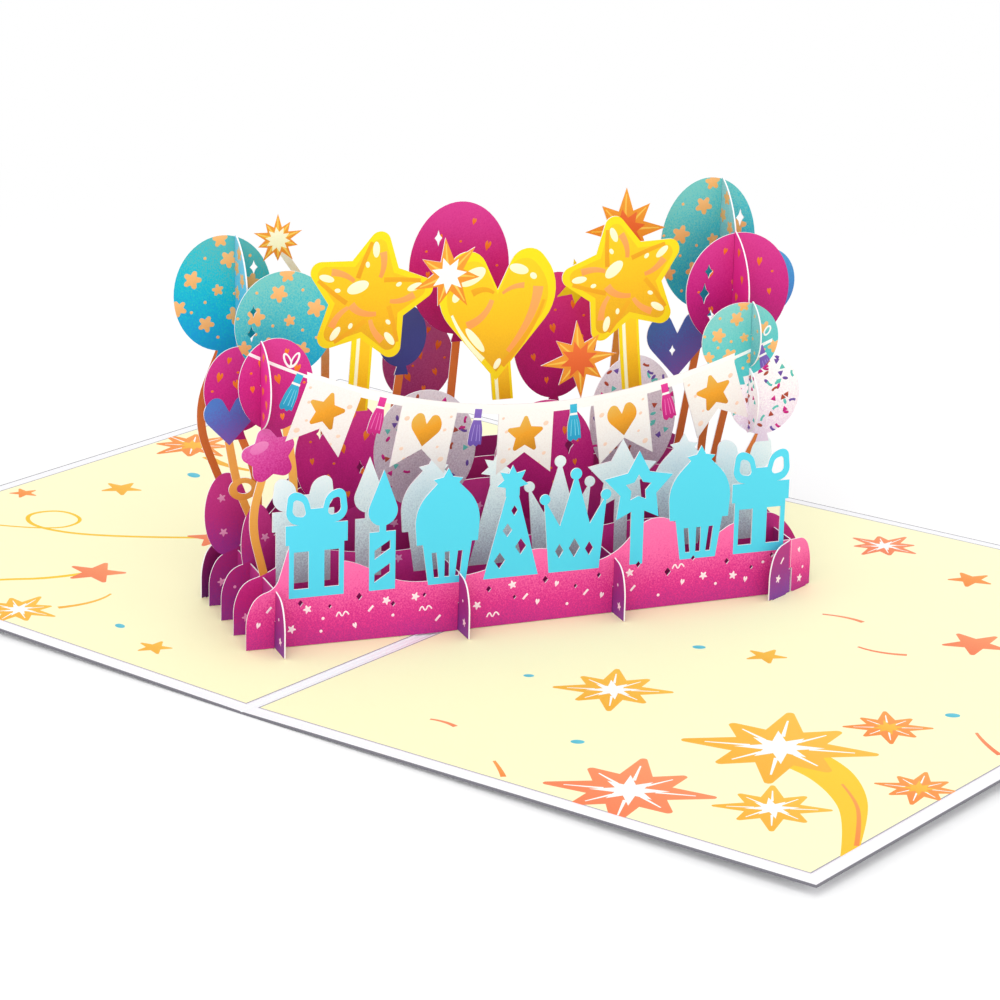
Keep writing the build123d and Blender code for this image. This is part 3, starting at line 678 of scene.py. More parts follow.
front_tab = bent_tab(RIGHT_HINGE, 1, HILL_PINK, -HALF_HEIGHT, HALF_HEIGHT + SLOT_PLAY)
flecks(front_tab[0], FLECK, ((3.0, 9.4, "heart"), (4.6, 5.4, "dot"), (3.6, 3.2, "star")))
die_cut("front_row", [(front_row, row_place(0)), front_tab])


# Echo row: the silhouettes again in pale grey, over a darker hill. The banner hangs above them, a white
# string of swallow-tailed pennants and tassels, tied to the balloons at both ends with small bows.

RIGHT_END = [(LAST_JOINT, CROSS_HEIGHT + 3.6), (RIGHT_EDGE - ARCH_INSET, ARCH_SHOULDER),
             (RIGHT_EDGE, ARCH_SPRING)]
RIBBON_WIDTH = 1.7
KNOT_NECK = 1.4
KNOT_LIP = 3.0
KNOT_DROP = 1.6
KNOT_ROOT = 1.0
FIN_POKE = 0.4
FIN_CLEARANCE = 0.5
FIN_REACH = ROW_PITCH - SHEET / 2 - FIN_CLEARANCE
LEFT_FIN_PLACE = -0.4
RIGHT_FIN_PLACE = 102.8
FIN_PARTING = 47.6
BANNER_LOW_S = 58.0
BANNER_LOW_Z = 42.3
BANNER_SAG = 0.0042
BANNER_WIDTH = 2.0
PENNANT_PLACES = (14.6, 34.2, 54.4, 74.4, 93.4)
PENNANT_WIDTH = 11.6
PENNANT_DROP = 13.4
PENNANT_NOTCH = 4.4
LEFT_MAGENTA = (2.5, 51.4, 7.5, 9.2)
SMALL_TEAL = (100.3, 53.0, 8.4, 7.8)
CONFETTI = (106.2, 41.2, 7.8, 8.4)
RIGHT_MAGENTA = (103.2, 61.2, 11.4, 11.9)
LEFT_TEAL = (-3.1, 65.6, 9.9, 11.6)
TOP_TEAL = (100.0, 69.0, 10.5, 13.8)

PALE_GREY = card("pale_grey", [(196, 197, 206), (223, 231, 235), (240, 249, 250), (247, 252, 252)], 1.1)
SHADED_FLECK = card("shaded_fleck", [(226, 138, 188), (238, 168, 208)])
HILL_CRIMSON = card("hill_crimson", [(150, 44, 146), (196, 32, 128), (216, 50, 142)], 0.6)
MAGENTA = card("magenta_print", [(168, 12, 106), (205, 26, 132), (220, 58, 148)], 0.6)
# Painted shade: the lean greys each balloon's left side; the cyan to grey-teal fade is print.
TEAL = card("teal_print_and_side_shade", [(0, 172, 214), (68, 192, 202), (120, 202, 196)], 1.3, 0.3)
PALE_TEAL = card("pale_teal_print_and_side_shade", [(76, 194, 200), (104, 202, 202), (138, 210, 206)], 0.9, 0.3)
CONFETTI_WHITE = card("confetti_white", [(238, 212, 232), (250, 240, 247), (255, 252, 254)], 1.4)
PINK_FOIL = card("pink_foil", [(200, 34, 132), (216, 66, 154), (224, 98, 174)], 1.3, 0.6)
PINK_SHINE = card("pink_shine", [(228, 108, 178), (234, 132, 190)], 0.9)
RIBBON_AMBER = card("ribbon_amber", [(224, 144, 54), (246, 174, 82)])
RIBBON_RUST = card("ribbon_rust", [(198, 98, 38), (228, 124, 56)])
PEACH_STAR = card("peach_star", [(242, 176, 100), (250, 192, 126)])
HEART_ORANGE = card("heart_orange", [(236, 100, 18), (246, 138, 38)])
STRING_WHITE = card("string_white", [(250, 248, 248), (255, 253, 253)])
PENNANT_WHITE = card("pennant_white", [(240, 226, 222), (248, 240, 237), (253, 249, 248)], 0.7)
PENNANT_GOLD = card("pennant_gold", [(204, 132, 18), (240, 160, 30), (234, 180, 78)], 0.3, 0.3, 0.45)
BLUSH = card("blush", [(250, 206, 180), (252, 218, 198)])
TASSEL_BLUE = (card("tassel_blue", [(30, 152, 198), (58, 190, 224)]),
               card("blue_thread", [(120, 208, 232), (130, 216, 238)]))
TASSEL_PINK = (card("tassel_pink", [(196, 24, 122), (232, 56, 156)]),
               card("pink_thread", [(238, 110, 186), (242, 130, 196)]))
TASSEL_PURPLE = (card("tassel_purple", [(104, 76, 168), (136, 104, 196)]),
                 card("purple_thread", [(160, 136, 214), (176, 154, 222)]))
BIT_TEAL = card("bit_teal", [(84, 186, 178), (104, 198, 188)])
BIT_PURPLE = card("bit_purple", [(96, 64, 150), (116, 84, 170)])
BIT_RUST = card("bit_rust", [(160, 60, 44), (184, 80, 58)])
BITS = (BIT_TEAL, MAGENTA, BIT_PURPLE, BIT_RUST)
CONFETTI_BITS = 46


def ribbon(points, width=RIBBON_WIDTH):
    """Strip about a line that runs mostly up and down, with square ends."""
    half = width / 2
    sides = [(s - half, z) for s, z in points], [(s + half, z) for s, z in reversed(points)]
    return outline([(s, z, 0.0 if i in (0, len(points) - 1) else 0.5) for side in sides
                    for i, (s, z) in enumerate(side)])


def balloon(sheet, size, ink):
    """Balloon with its knot."""
    s, z, _, half_height = size
    root, lip = z - half_height + KNOT_ROOT, z - half_height - KNOT_DROP
    sheet.part(outline([(s - KNOT_NECK / 2, root), (s + KNOT_NECK / 2, root), (s + KNOT_LIP / 2, lip),
                        (s - KNOT_LIP / 2, lip)]), ink, limits(oval(*size)))
    sheet.part(oval(*size), ink)


def spot_on(size, u, v):
    """Place on a balloon or a fin, in shares of its half width and half height."""
    s, z, half_width, half_height = size
    return s + u * half_width, z + v * half_height


def star_balloon(sheet, size, ink=TEAL, way=1):
    """Balloon with a scatter of plump peach stars and dots; way -1 mirrors the scatter."""
    balloon(sheet, size, ink)
    for u, v, share in ((-0.12, 0.58, 0.18), (-0.58, 0.16, 0.19), (0.62, 0.26, 0.19), (0.05, 0.93, 0.16),
                        (-0.26, -0.40, 0.19), (0.34, -0.52, 0.17), (0.10, 0.06, 0.12), (-0.82, -0.42, 0.16),
                        (0.90, -0.22, 0.17)):
        radius, turn = share * size[2], 50 * u + 80 * v
        plump = star(*spot_on(size, way * u, v), 5, radius, radius * 0.56, turn, 1.0, radius * 0.42)
        sheet.mark(plump, PEACH_STAR)
    for u, v in ((0.36, 0.62), (-0.56, 0.62), (-0.24, -0.02), (0.36, -0.14), (-0.58, -0.16), (0.64, -0.30),
                 (0.10, -0.76), (-0.52, -0.70), (-0.94, 0.16)):
        sheet.mark(oval(*spot_on(size, way * u, v), 0.32, 0.32, 0, 14), PEACH_STAR)


def heart_balloon(sheet, size, ink=MAGENTA, way=1):
    """Balloon with a few small orange hearts; way -1 mirrors the scatter."""
    balloon(sheet, size, ink)
    for u, v, tall in ((0.28, 0.68, 0.7), (-0.40, 0.46, 0.9), (0.56, 0.30, 1.0), (-0.62, -0.08, 0.7),
                       (0.06, 0.10, 1.0), (0.50, -0.34, 0.8), (-0.26, -0.42, 1.0), (0.18, -0.72, 0.7)):
        turn = 26 * sin(40 * u + v)
        sheet.mark(heart(*spot_on(size, way * u, v), 0.62 * tall, tall, turn, 5), HEART_ORANGE)
    for u, v in ((0.02, 0.40), (-0.14, -0.14), (0.76, 0.0), (-0.66, 0.28)):
        sheet.mark(oval(*spot_on(size, way * u, v), 0.3, 0.26, 0, 12), HEART_ORANGE)


def confetti_balloon(sheet, size, ink=CONFETTI_WHITE, seed=1):
    """Balloon full of small paper bits of four colours."""
    balloon(sheet, size, ink)
    dice = Random(seed)
    for k in range(CONFETTI_BITS):
        reach, angle = dice.uniform(0.05, 1) ** 0.5 * 0.97, dice.uniform(0, 2 * pi)
        middle = Vector(spot_on(size, reach * cos(angle), reach * sin(angle)))
        turn, bit = dice.uniform(0, 180), BITS[k % 4]
        if k % 3 == 0:
            sheet.mark(star(*middle, 3, 0.72, 0.4, turn), bit)
        elif k % 3 == 1:
            sheet.mark(oval(*middle, 0.66, 0.34, turn, 10), bit)
        else:
            way = Vector((cos(radians(turn)), sin(radians(turn))))
            line = [middle - way * 0.7, middle + way.orthogonal() * 0.4, middle + way * 0.7]
            sheet.mark(stroke(line, 0.5, 0.5, 3), bit)


def fin_on(row, s, size, front, floor=0.0, ceiling=PANEL_WIDTH):
    """Place and size of a fin on a balloon: as tall as the balloon is at s, within floor and ceiling."""
    middle, z, half_width, half_height = size
    high = half_height * (1 - ((s - middle) / half_width) ** 2) ** 0.5
    foot, top = max(z - high, floor), min(z + high, ceiling)
    return {"row": row, "s": s, "z": (foot + top) / 2, "high": (top - foot) / 2, "front": front}


FINS = {
    "left_magenta_fin": fin_on(1, LEFT_FIN_PLACE, LEFT_MAGENTA, 6.6),
    "small_teal_fin": fin_on(1, RIGHT_FIN_PLACE, SMALL_TEAL, 4.6, floor=FIN_PARTING),
    "confetti_fin": fin_on(1, RIGHT_FIN_PLACE, CONFETTI, 4.9, ceiling=FIN_PARTING - 3 * FIN_POKE),
    "right_magenta_fin": fin_on(2, RIGHT_FIN_PLACE - 2 * SHEET, RIGHT_MAGENTA, FIN_REACH),
    "left_teal_fin": fin_on(3, LEFT_FIN_PLACE, LEFT_TEAL, FIN_REACH),
    "top_teal_fin": fin_on(3, RIGHT_FIN_PLACE, TOP_TEAL, FIN_REACH),
}


def slot_fins(sheet, row):
    """Cuts the slots of a row's fins, from each balloon's top to its middle."""
    for fin in FINS.values():
        if fin["row"] == row:
            top = fin["z"] + fin["high"] + FIN_POKE
            cut_slot(sheet, fin["s"], fin["z"] - SLOT_PLAY, top + SLOT_PLAY)


def stand_row(node, sheet, index):
    """Cuts a middle row's slots and foot, and stands it in the grid."""
    slot_fins(sheet, index)
    slot_row(sheet, CROSS_PLACES)
    trim_foot(sheet, row_place(index), -2 * ROW_OVERHANG, RIGHT_EDGE + ROW_OVERHANG)
    die_cut(node, [(sheet, row_place(index))])


def full_hill(ridge):
    """Hill of a row with both ends rounded."""
    return hill(LEFT_END + ridge + RIGHT_END, -ROW_OVERHANG, RIGHT_EDGE)


def banner_height(s):
    return BANNER_LOW_Z + BANNER_SAG * (s - BANNER_LOW_S) ** 2


def banner_strip(left, right, width, steps=40):
    """Strip of the string between two places along the row."""
    line = [Vector((s, banner_height(s)))
            for s in (left + (right - left) * k / steps for k in range(steps + 1))]
    half = Vector((0, width / 2))
    return wound([p - half for p in line] + [p + half for p in reversed(line)])


def hang(line, s, drop=0.0):
    """Hangs an outline square to the string."""
    lean = Matrix.Rotation(2 * BANNER_SAG * (s - BANNER_LOW_S), 2)
    return [Vector((s, banner_height(s))) + lean @ (p - Vector((0, drop))) for p in line]


def tassel(sheet, lay, s, inks):
    """Bunch of threads under a white band on the string; lay adds its outline as a part or a mark."""
    bunch, thread = inks
    lay(hang(outline([(-0.75, 0, 0.0), (0.75, 0, 0.0), (0.75, -2.0, 0.0), (1.35, -4.2), (1.45, -7.4),
                      (0.9, -7.2, 0.0), (0.4, -7.8), (-0.2, -7.3, 0.0), (-0.8, -7.8), (-1.45, -7.2),
                      (-1.35, -4.2), (-0.75, -2.0, 0.0)], 0.4, 4), s), bunch)
    for u in (-0.42, 0.16, 0.6):
        sheet.mark(hang(stroke([(u, -3.2), (u * 1.5, -4.8), (u * 1.7, -6.6)], 0.08, 0.18, 3), s), thread)
    sheet.mark(hang(box(-0.9, -2.3, 0.9, -1.85), s), STRING_WHITE)


echo_row = Sheet()
echo_row.part(ribbon([(4.6, 43), (6.6, 30), (4.6, 14)]), RIBBON_AMBER)
echo_row.part(ribbon([(0.2, 34), (-2.6, 24), (0.4, 12)]), RIBBON_AMBER)
echo_row.part(ribbon([(106.0, 34), (101.6, 26), (103.4, 13)]), RIBBON_RUST)
echo_row.part(full_hill([(9, 17.5), (26, 14.5), (44, 17), (62, 15), (80, 17.5), (96, 15)]), HILL_CRIMSON)
flecks(echo_row, SHADED_FLECK, ((-3.4, 4.4, "star"), (5, 12, "star"), (28, 13.6, "star"), (62, 13, "dash"),
                                (86, 13.2, "star"), (112, 8, "star")))
add_silhouettes(echo_row, PALE_GREY, False)
heart_balloon(echo_row, LEFT_MAGENTA)
echo_row.mark(banner_strip(-4.6, 10, 0.7), STRING_WHITE)
for u, turn in ((-0.75, 24), (0.75, -30)):
    echo_row.mark(oval(5.6 + u, 56.0, 0.72, 1.7, turn, 24), STRING_WHITE)
    echo_row.mark(oval(5.6 + u, 56.1, 0.36, 1.15, turn, 24), MAGENTA)
tassel(echo_row, echo_row.mark, 7.4, TASSEL_BLUE)
confetti_balloon(echo_row, CONFETTI, CONFETTI_WHITE, 4)
star_balloon(echo_row, SMALL_TEAL, PALE_TEAL)
echo_row.mark(banner_strip(98, 107.4, 0.7), STRING_WHITE)
echo_row.mark(oval(106.2, 54.6, 0.7, 1.2, -30, 20), STRING_WHITE)
echo_row.mark(oval(106.2, 54.6, 0.36, 0.8, -30, 20), PALE_TEAL)
tassel(echo_row, echo_row.mark, 104.6, TASSEL_PURPLE)
echo_row.part(star(1.2, 37.2, 5, 5.6, 3.9, 12, 1.0, 2.0), PINK_FOIL)
echo_row.mark(oval(-0.8, 38.9, 2.0, 1.1, 24), PINK_SHINE)
echo_row.part(banner_strip(PENNANT_PLACES[0] - PENNANT_WIDTH / 2, PENNANT_PLACES[-1] + PENNANT_WIDTH / 2,
                           BANNER_WIDTH), STRING_WHITE)
for i, s in enumerate(PENNANT_PLACES):
    half = PENNANT_WIDTH / 2
    echo_row.part(hang(outline([(-half, 0), (-half, -PENNANT_DROP), (0, PENNANT_NOTCH - PENNANT_DROP),
                                (half, -PENNANT_DROP), (half, 0)]), s), PENNANT_WHITE)
    for u, v, radius in ((-4.4, -10.6, 0.5), (4.3, -3.2, 0.45), (4.2, -9.4, 0.35), (-4.0, -4.6, 0.3),
                         (-3.2, -8.2, 0.25), (3.2, -11.4, 0.3), (-4.8, -1.8, 0.25)):
        echo_row.mark(hang(oval(u * (-1) ** i, v, radius * 1.3, radius, 30, 12), s), BLUSH)
    emblem = heart(0, 0, 3.1, 3.1) if i % 2 else star(0, 0, 5, 3.9, 2.1, 0, 1.0, 0.6)
    echo_row.mark(hang(emblem, s, 5.4), PENNANT_GOLD)
for a, b, ink in zip(PENNANT_PLACES, PENNANT_PLACES[1:],
                     (TASSEL_PINK, TASSEL_PURPLE, TASSEL_BLUE, TASSEL_PINK)):
    tassel(echo_row, echo_row.part, (a + b) / 2, ink)
stand_row("echo_row", echo_row, 1)


# Foil row: a gold foil star, heart and star on necks, over a band of balloons and a plum-coloured hill,
# with orange star bursts between them. Small sparkles are punched through the balloons.

NECK_WIDTH = 4.4
HILL_PLUM = card("hill_plum", [(140, 44, 140), (182, 34, 124), (202, 48, 136)], 0.6)
BUSH_PINK = card("bush_pink", [(150, 46, 146), (192, 44, 132), (210, 58, 146)], 0.6)
FOIL_RIM = card("foil_rim", [(246, 210, 0), (255, 228, 0)], 0.1, 0.0, 0.42)
FOIL_BODY = card("foil_body", [(228, 164, 12), (253, 194, 12), (255, 212, 20)], 0.3, 0.0, 0.42)
FOIL_SHADE = card("foil_shade", [(236, 160, 14), (244, 176, 16)], 0.2, 0.0, 0.45)
FOIL_PATCH = card("foil_patch", [(250, 158, 76), (255, 172, 94)], 0.2, 0.0, 0.45)
FOIL_SHINE = card("foil_shine", [(254, 248, 200), (255, 253, 220)], 0.1, 0.0, 0.4)
BURST_ORANGE = card("burst_orange", [(238, 140, 36), (248, 168, 56)])
BURST_RAY = card("burst_ray", [(252, 198, 74), (254, 210, 96)])
BURST_CORE = card("burst_core", [(230, 96, 40), (242, 116, 56)])
BLUE = card("blue_print", [(126, 84, 172), (96, 98, 184), (78, 124, 204)], 0.8, 0.5)
CONFETTI_GREY = card("confetti_grey", [(194, 172, 190), (214, 200, 212), (230, 220, 228)], 1.6)


def burst(sheet, s, z, tips, radius, waist, turn, short, core):
    """Star burst with a thin line along each ray and a small star at its centre."""
    sheet.part(star(s, z, tips, radius, waist, turn, short), BURST_ORANGE)
    for k in range(tips):
        angle = pi / 2 + radians(turn) + 2 * pi * k / tips
        way = Vector((cos(angle), sin(angle))) * radius * (short if k % 2 else 1.0)
        middle = Vector((s, z))
        sheet.mark(stroke([middle + way * 0.2, middle + way * 0.5 + way.orthogonal() * 0.02,
                           middle + way * 0.84], 0.6, 0.2, 4), BURST_RAY)
    sheet.mark(star(s, z, tips, radius * 0.5, waist * 0.6, turn + 90 / tips), core)


def foil_star(sheet, s, z, radius, waist, turn, blunt):
    """Puffy five-pointed foil balloon: a bright rim, an amber body, orange reflections and pale shines."""
    sheet.part(star(s, z, 5, radius, waist, turn, 1.0, blunt), FOIL_RIM)
    sheet.mark(star(s, z, 5, radius * 0.88, waist * 0.84, turn, 1.0, blunt * 0.8), FOIL_BODY)
    middle = Vector((s, z))
    for k in range(5):
        lean = turn + 90 + 72 * k
        reach = Vector((cos(radians(lean)), sin(radians(lean))))
        side = Vector((-sin(radians(lean)), cos(radians(lean))))
        for route, start, end, ink in ((((0.32, -1.5), (0.5, -2.2), (0.7, -1.0)), 0.8, 1.5, FOIL_PATCH),
                                       (((0.26, 3.0), (0.56, 2.5), (0.82, 1.6)), 1.0, 0.8, FOIL_SHADE)):
            line = [middle + reach * share * radius + side * off for share, off in route]
            sheet.mark(stroke(line, start, end), ink)
        for share, off, *glow in ((0.72, 0.5, 1.6, 0.7, lean + 12, 24),
                                  (0.48, 1.6, 0.62, 0.42, lean + 20, 16)):
            sheet.mark(oval(*(middle + reach * share * radius + side * off), *glow), FOIL_SHINE)
    sheet.mark(stroke([(s - 3.6, z - 1.2), (s - 2.0, z - 3.6), (s + 1.6, z - 3.4)], 1.7, 0.9), FOIL_PATCH)
    sheet.mark(oval(s - 2.2, z + 2.2, 2.3, 1.2, turn + 30, 24), FOIL_SHINE)


def foil_heart(sheet, s, z, half_width, half_height):
    """Puffy heart-shaped foil balloon in the same finish."""
    sheet.part(heart(s, z, half_width, half_height), FOIL_RIM)
    sheet.mark(heart(s, z, half_width * 0.87, half_height * 0.86), FOIL_BODY)
    for route, start, end, ink in (([(8.6, 6.4), (8.2, 0.2), (2.4, -6.6)], 2.2, 1.0, FOIL_PATCH),
                                   ([(-1.2, 4.2), (-2.4, 0.4), (-6.4, -0.8)], 1.0, 1.8, FOIL_PATCH),
                                   ([(9.9, 3.6), (7.6, -3.2), (1.2, -9.4)], 0.7, 1.3, FOIL_SHADE),
                                   ([(-0.8, 5.6), (-2.8, 7.2), (-5.4, 5.8)], 0.6, 1.5, FOIL_SHADE),
                                   ([(1.0, 5.4), (3.0, 7.0), (5.6, 6.8)], 0.6, 1.2, FOIL_PATCH),
                                   ([(-9.6, 1.6), (-7.4, -3.6), (-2.8, -8.0)], 0.5, 1.0, FOIL_SHINE)):
        sheet.mark(stroke([(s + u, z + v) for u, v in route], start, end), ink)
    for u, v, wide, high, turn in ((-5.4, 9.2, 3.0, 1.5, 28), (-8.7, 5.4, 1.3, 0.8, 66),
                                   (4.4, 10.2, 2.1, 1.0, -18), (7.5, 8.6, 0.8, 0.6, -40),
                                   (-4.6, -3.8, 3.2, 0.8, -52), (0.2, -9.0, 1.2, 0.6, 60)):
        sheet.mark(oval(s + u, z + v, wide, high, turn, 24), FOIL_SHINE)


def sparkle(s, z, half_width, half_height):
    """Four-pointed glint."""
    tips = [(way * u, way * v) for way in (1, -1) for u, v in ((1, 0), (0.38, 0.38), (0, 1), (-0.38, 0.38))]
    return outline([(s + u * half_width, z + v * half_height) for u, v in tips])


foil_row = Sheet()
foil_row.part(ribbon([(7.4, 52), (13, 44), (16, 30)]), RIBBON_RUST)
foil_row.part(ribbon([(-2.4, 40), (1.6, 30), (1.4, 18)]), RIBBON_RUST)
foil_row.part(ribbon([(-4.4, 38), (-2.6, 28), (1.8, 18)]), RIBBON_AMBER)
foil_row.part(oval(-1.5, 28.0, 2.9, 2.3), RIBBON_AMBER)
foil_row.part(ribbon([(103, 50), (97, 36), (96, 16)]), RIBBON_RUST)
foil_row.part(oval(1.5, 16.2, 3.4, 8.4), BUSH_PINK)
flecks(foil_row, SHADED_FLECK, [(3.0, 17.6, "star")])
foil_row.part(full_hill([(12, 25), (30, 23.5), (48, 26.5), (66, 24), (86, 27)]), HILL_PLUM)
flecks(foil_row, SHADED_FLECK, ((-3.2, 7.8, "dot"), (30, 18, "star"), (48, 20, "star"), (76, 20.6, "star"),
                                (97, 17, "star")))
heart_balloon(foil_row, (-2.4, 48.4, 7.0, 8.6), MAGENTA, -1)
star_balloon(foil_row, (6.9, 60.9, 10.1, 10.6), TEAL)
heart_balloon(foil_row, RIGHT_MAGENTA, MAGENTA, -1)
heart_balloon(foil_row, (18.5, 33.2, 9.4, 11.6))
confetti_balloon(foil_row, (36.2, 33.0, 10.8, 12.2), CONFETTI_GREY, 7)
heart_balloon(foil_row, (61.9, 28.4, 10.8, 12.7), MAGENTA, -1)
confetti_balloon(foil_row, (81.0, 36.0, 9.4, 13.0), CONFETTI_GREY, 9)
foil_row.part(heart(-4.3, 41.7, 5.0, 4.5), BLUE)
for route in ([(23, 60), (22.4, 50), (21.8, 42)], [(51, 60), (51.8, 50), (52.6, 42)],
              [(79, 60), (79.8, 50), (80.6, 42)]):
    foil_row.part(ribbon(route, NECK_WIDTH), FOIL_RIM)
    foil_row.mark(ribbon([(s + 0.5, z) for s, z in route], NECK_WIDTH * 0.55), FOIL_BODY)
    foil_row.mark(ribbon([(s - 0.9, z - 2) for s, z in route], NECK_WIDTH * 0.16), FOIL_SHINE)
foil_star(foil_row, 24, 65, 13.4, 8.3, -12, 2.6)
foil_star(foil_row, 78, 65, 13.4, 8.3, 12, 2.6)
foil_heart(foil_row, 51, 58.5, 12.0, 12.4)
burst(foil_row, 40.6, 68.4, 7, 7.6, 3.2, 6, 0.86, BARE_PRINT)
burst(foil_row, 68.8, 49.0, 8, 8.2, 3.6, 5, 0.8, BURST_CORE)
for glint in ((0.6, 63.8, 0.7, 1.3), (0.2, 59.4, 0.9, 1.7), (96.6, 65.4, 0.9, 1.5), (95.8, 60.8, 1.1, 2.2),
              (97.4, 56.2, 0.8, 1.3), (14.2, 38.0, 0.7, 1.2), (22.6, 30.4, 0.8, 1.4),
              (56.4, 33.4, 0.8, 1.6), (67.2, 31.2, 1.0, 2.0), (65.6, 27.0, 0.7, 1.4)):
    foil_row.cut(sparkle(*glint))
foil_row.cut(oval(-1.3, 28.1, 1.5, 1.1))
stand_row("foil_row", foil_row, 2)


# Balloon row: the tallest balloons, star bursts on thin tails and a blue heart, over a dark plum hill. The
# balloons at its two ends carry fins.

HILL_WINE = card("hill_wine", [(130, 42, 136), (172, 36, 122), (194, 48, 134)], 0.6)
DARK_BLUE = card("dark_blue_print", [(60, 64, 140), (72, 82, 162)], 0.5, 0.3)
BURST_YELLOW = card("burst_yellow", [(230, 210, 24), (248, 230, 44)])
PALE_TAIL = card("pale_tail", [(216, 132, 52), (226, 150, 78), (238, 232, 212)], 0.2)
# Painted shade: this teal leans grey on the right, the side behind the fin; the fade is print.
LEFT_TEAL_SHADED = card("left_teal_print_and_side_shade", [(0, 164, 218), (4, 194, 210), (92, 186, 184)], 1.3, -0.4)

balloon_row = Sheet()
for route, ink in (([(-3.4, 55), (-9.0, 41), (-2.4, 24)], RIBBON_RUST),
                   ([(8.4, 74), (18, 60), (18, 18)], PALE_TAIL),
                   ([(34, 49), (30, 20)], RIBBON_RUST),
                   ([(45.9, 56), (43, 22)], RIBBON_RUST),
                   ([(67, 40), (66, 20)], RIBBON_RUST),
                   ([(82, 68), (78, 18)], RIBBON_AMBER),
                   ([(100, 56), (94, 20)], RIBBON_RUST)):
    balloon_row.part(ribbon(route), ink)
balloon_row.part(oval(-2.4, 20.2, 4.5, 8.6), BUSH_PINK)
flecks(balloon_row, SHADED_FLECK, ((-3.4, 23.6, "star"), (-3.0, 16.4, "star")))
balloon_row.part(full_hill([(14, 27), (32, 24.5), (52, 28.5), (72, 25), (92, 28)]), HILL_WINE)
flecks(balloon_row, SHADED_FLECK, ((-3.4, 6, "star"), (14, 18, "star"), (46, 21, "star"), (84, 21, "star"),
                                   (104, 15, "heart")))
star_balloon(balloon_row, LEFT_TEAL, LEFT_TEAL_SHADED, -1)
balloon(balloon_row, (34.0, 54.4, 5.2, 6.6), DARK_BLUE)
heart_balloon(balloon_row, (45.9, 67.4, 10.6, 13.6))
heart_balloon(balloon_row, (67.0, 52.0, 9.2, 13.2), MAGENTA, -1)
star_balloon(balloon_row, TOP_TEAL, TEAL)
balloon_row.part(heart(94.0, 47.2, 6.6, 6.3), BLUE)
balloon_row.part(star(71.9, 62.4, 7, 5.4, 2.6, 14, 0.8), BURST_YELLOW)
burst(balloon_row, 8.1, 75.6, 10, 5.2, 2.6, 0, 0.82, FOIL_SHINE)
burst(balloon_row, 81.6, 73.0, 8, 8.8, 4.2, 0, 0.84, BURST_CORE)
for glint in ((3.2, 70.4, 0.8, 1.4), (41.4, 73.8, 0.8, 1.7), (45.4, 60.8, 0.8, 1.6), (63.2, 57.0, 0.8, 1.5),
              (93.0, 46.8, 0.7, 1.2), (107.0, 74.0, 0.9, 1.9)):
    balloon_row.cut(sparkle(*glint))
stand_row("balloon_row", balloon_row, 3)


# Rear row: the last hill, in dark purple, with a mauve and a blue balloon. Its left end is bent along the
# crease, and stands in the left liner as a tab.

HILL_PURPLE = card("hill_purple", [(104, 34, 118), (146, 38, 120), (176, 50, 132)], 0.6)
MAUVE = card("mauve_print", [(168, 52, 122), (188, 78, 140), (196, 98, 152)], 0.9)
SKY_BLUE = card("sky_blue_print", [(84, 104, 194), (66, 142, 212), (86, 168, 226)], 0.6)

rear_row = Sheet()
rear_row.part(ribbon([(40.5, 39), (40, 22)]), RIBBON_RUST)
rear_row.part(ribbon([(117.6, 51), (110.6, 36), (106, 14)]), RIBBON_RUST)
rear_row.part(hill([(0, CROSS_HEIGHT, 0.0), (5, CROSS_HEIGHT), (16, 29), (36, 26), (56, 30), (76, 26.5),
                    (96, 29)] + RIGHT_END, 0, RIGHT_EDGE), HILL_PURPLE)
flecks(rear_row, SHADED_FLECK, ((12, 8, "star"), (20, 16, "heart"), (30, 9, "dot"), (44, 14, "star"),
                                (56, 22, "star"), (64, 8, "heart"), (76, 15, "star"), (88, 20, "dot"),
                                (94, 8, "star"), (104, 11, "heart"), (112, 6, "star")))
heart_balloon(rear_row, (40.5, 46.5, 7.6, 8.8), MAUVE)
balloon(rear_row, (117.6, 57.4, 6.6, 7.4), SKY_BLUE)
slot_row(rear_row, CROSS_PLACES[1:])
cut_slot(rear_row, 0, -HALF_HEIGHT, HALF_HEIGHT + SLOT_PLAY, BEND_ROOM)
trim_foot(rear_row, row_place(ROWS - 1), -2 * ROW_OVERHANG, RIGHT_EDGE + ROW_OVERHANG)
rear_tab = bent_tab(LEFT_HINGE, -1, HILL_PURPLE, -HALF_HEIGHT, HALF_HEIGHT + SLOT_PLAY)
die_cut("rear_row", [(rear_row, row_place(ROWS - 1)), rear_tab])


# Cross slices: four low sheets with rounded ends, hooked under all the rows. They fade from pink to violet,
# and the outer two are bent at a corner of the grid and stand in the liners' slits.

CROSS_OVERHANG = 6.2
SLICE_VIOLET = card("slice_violet", [(128, 62, 160), (156, 46, 138), (186, 44, 132)], 0.6)


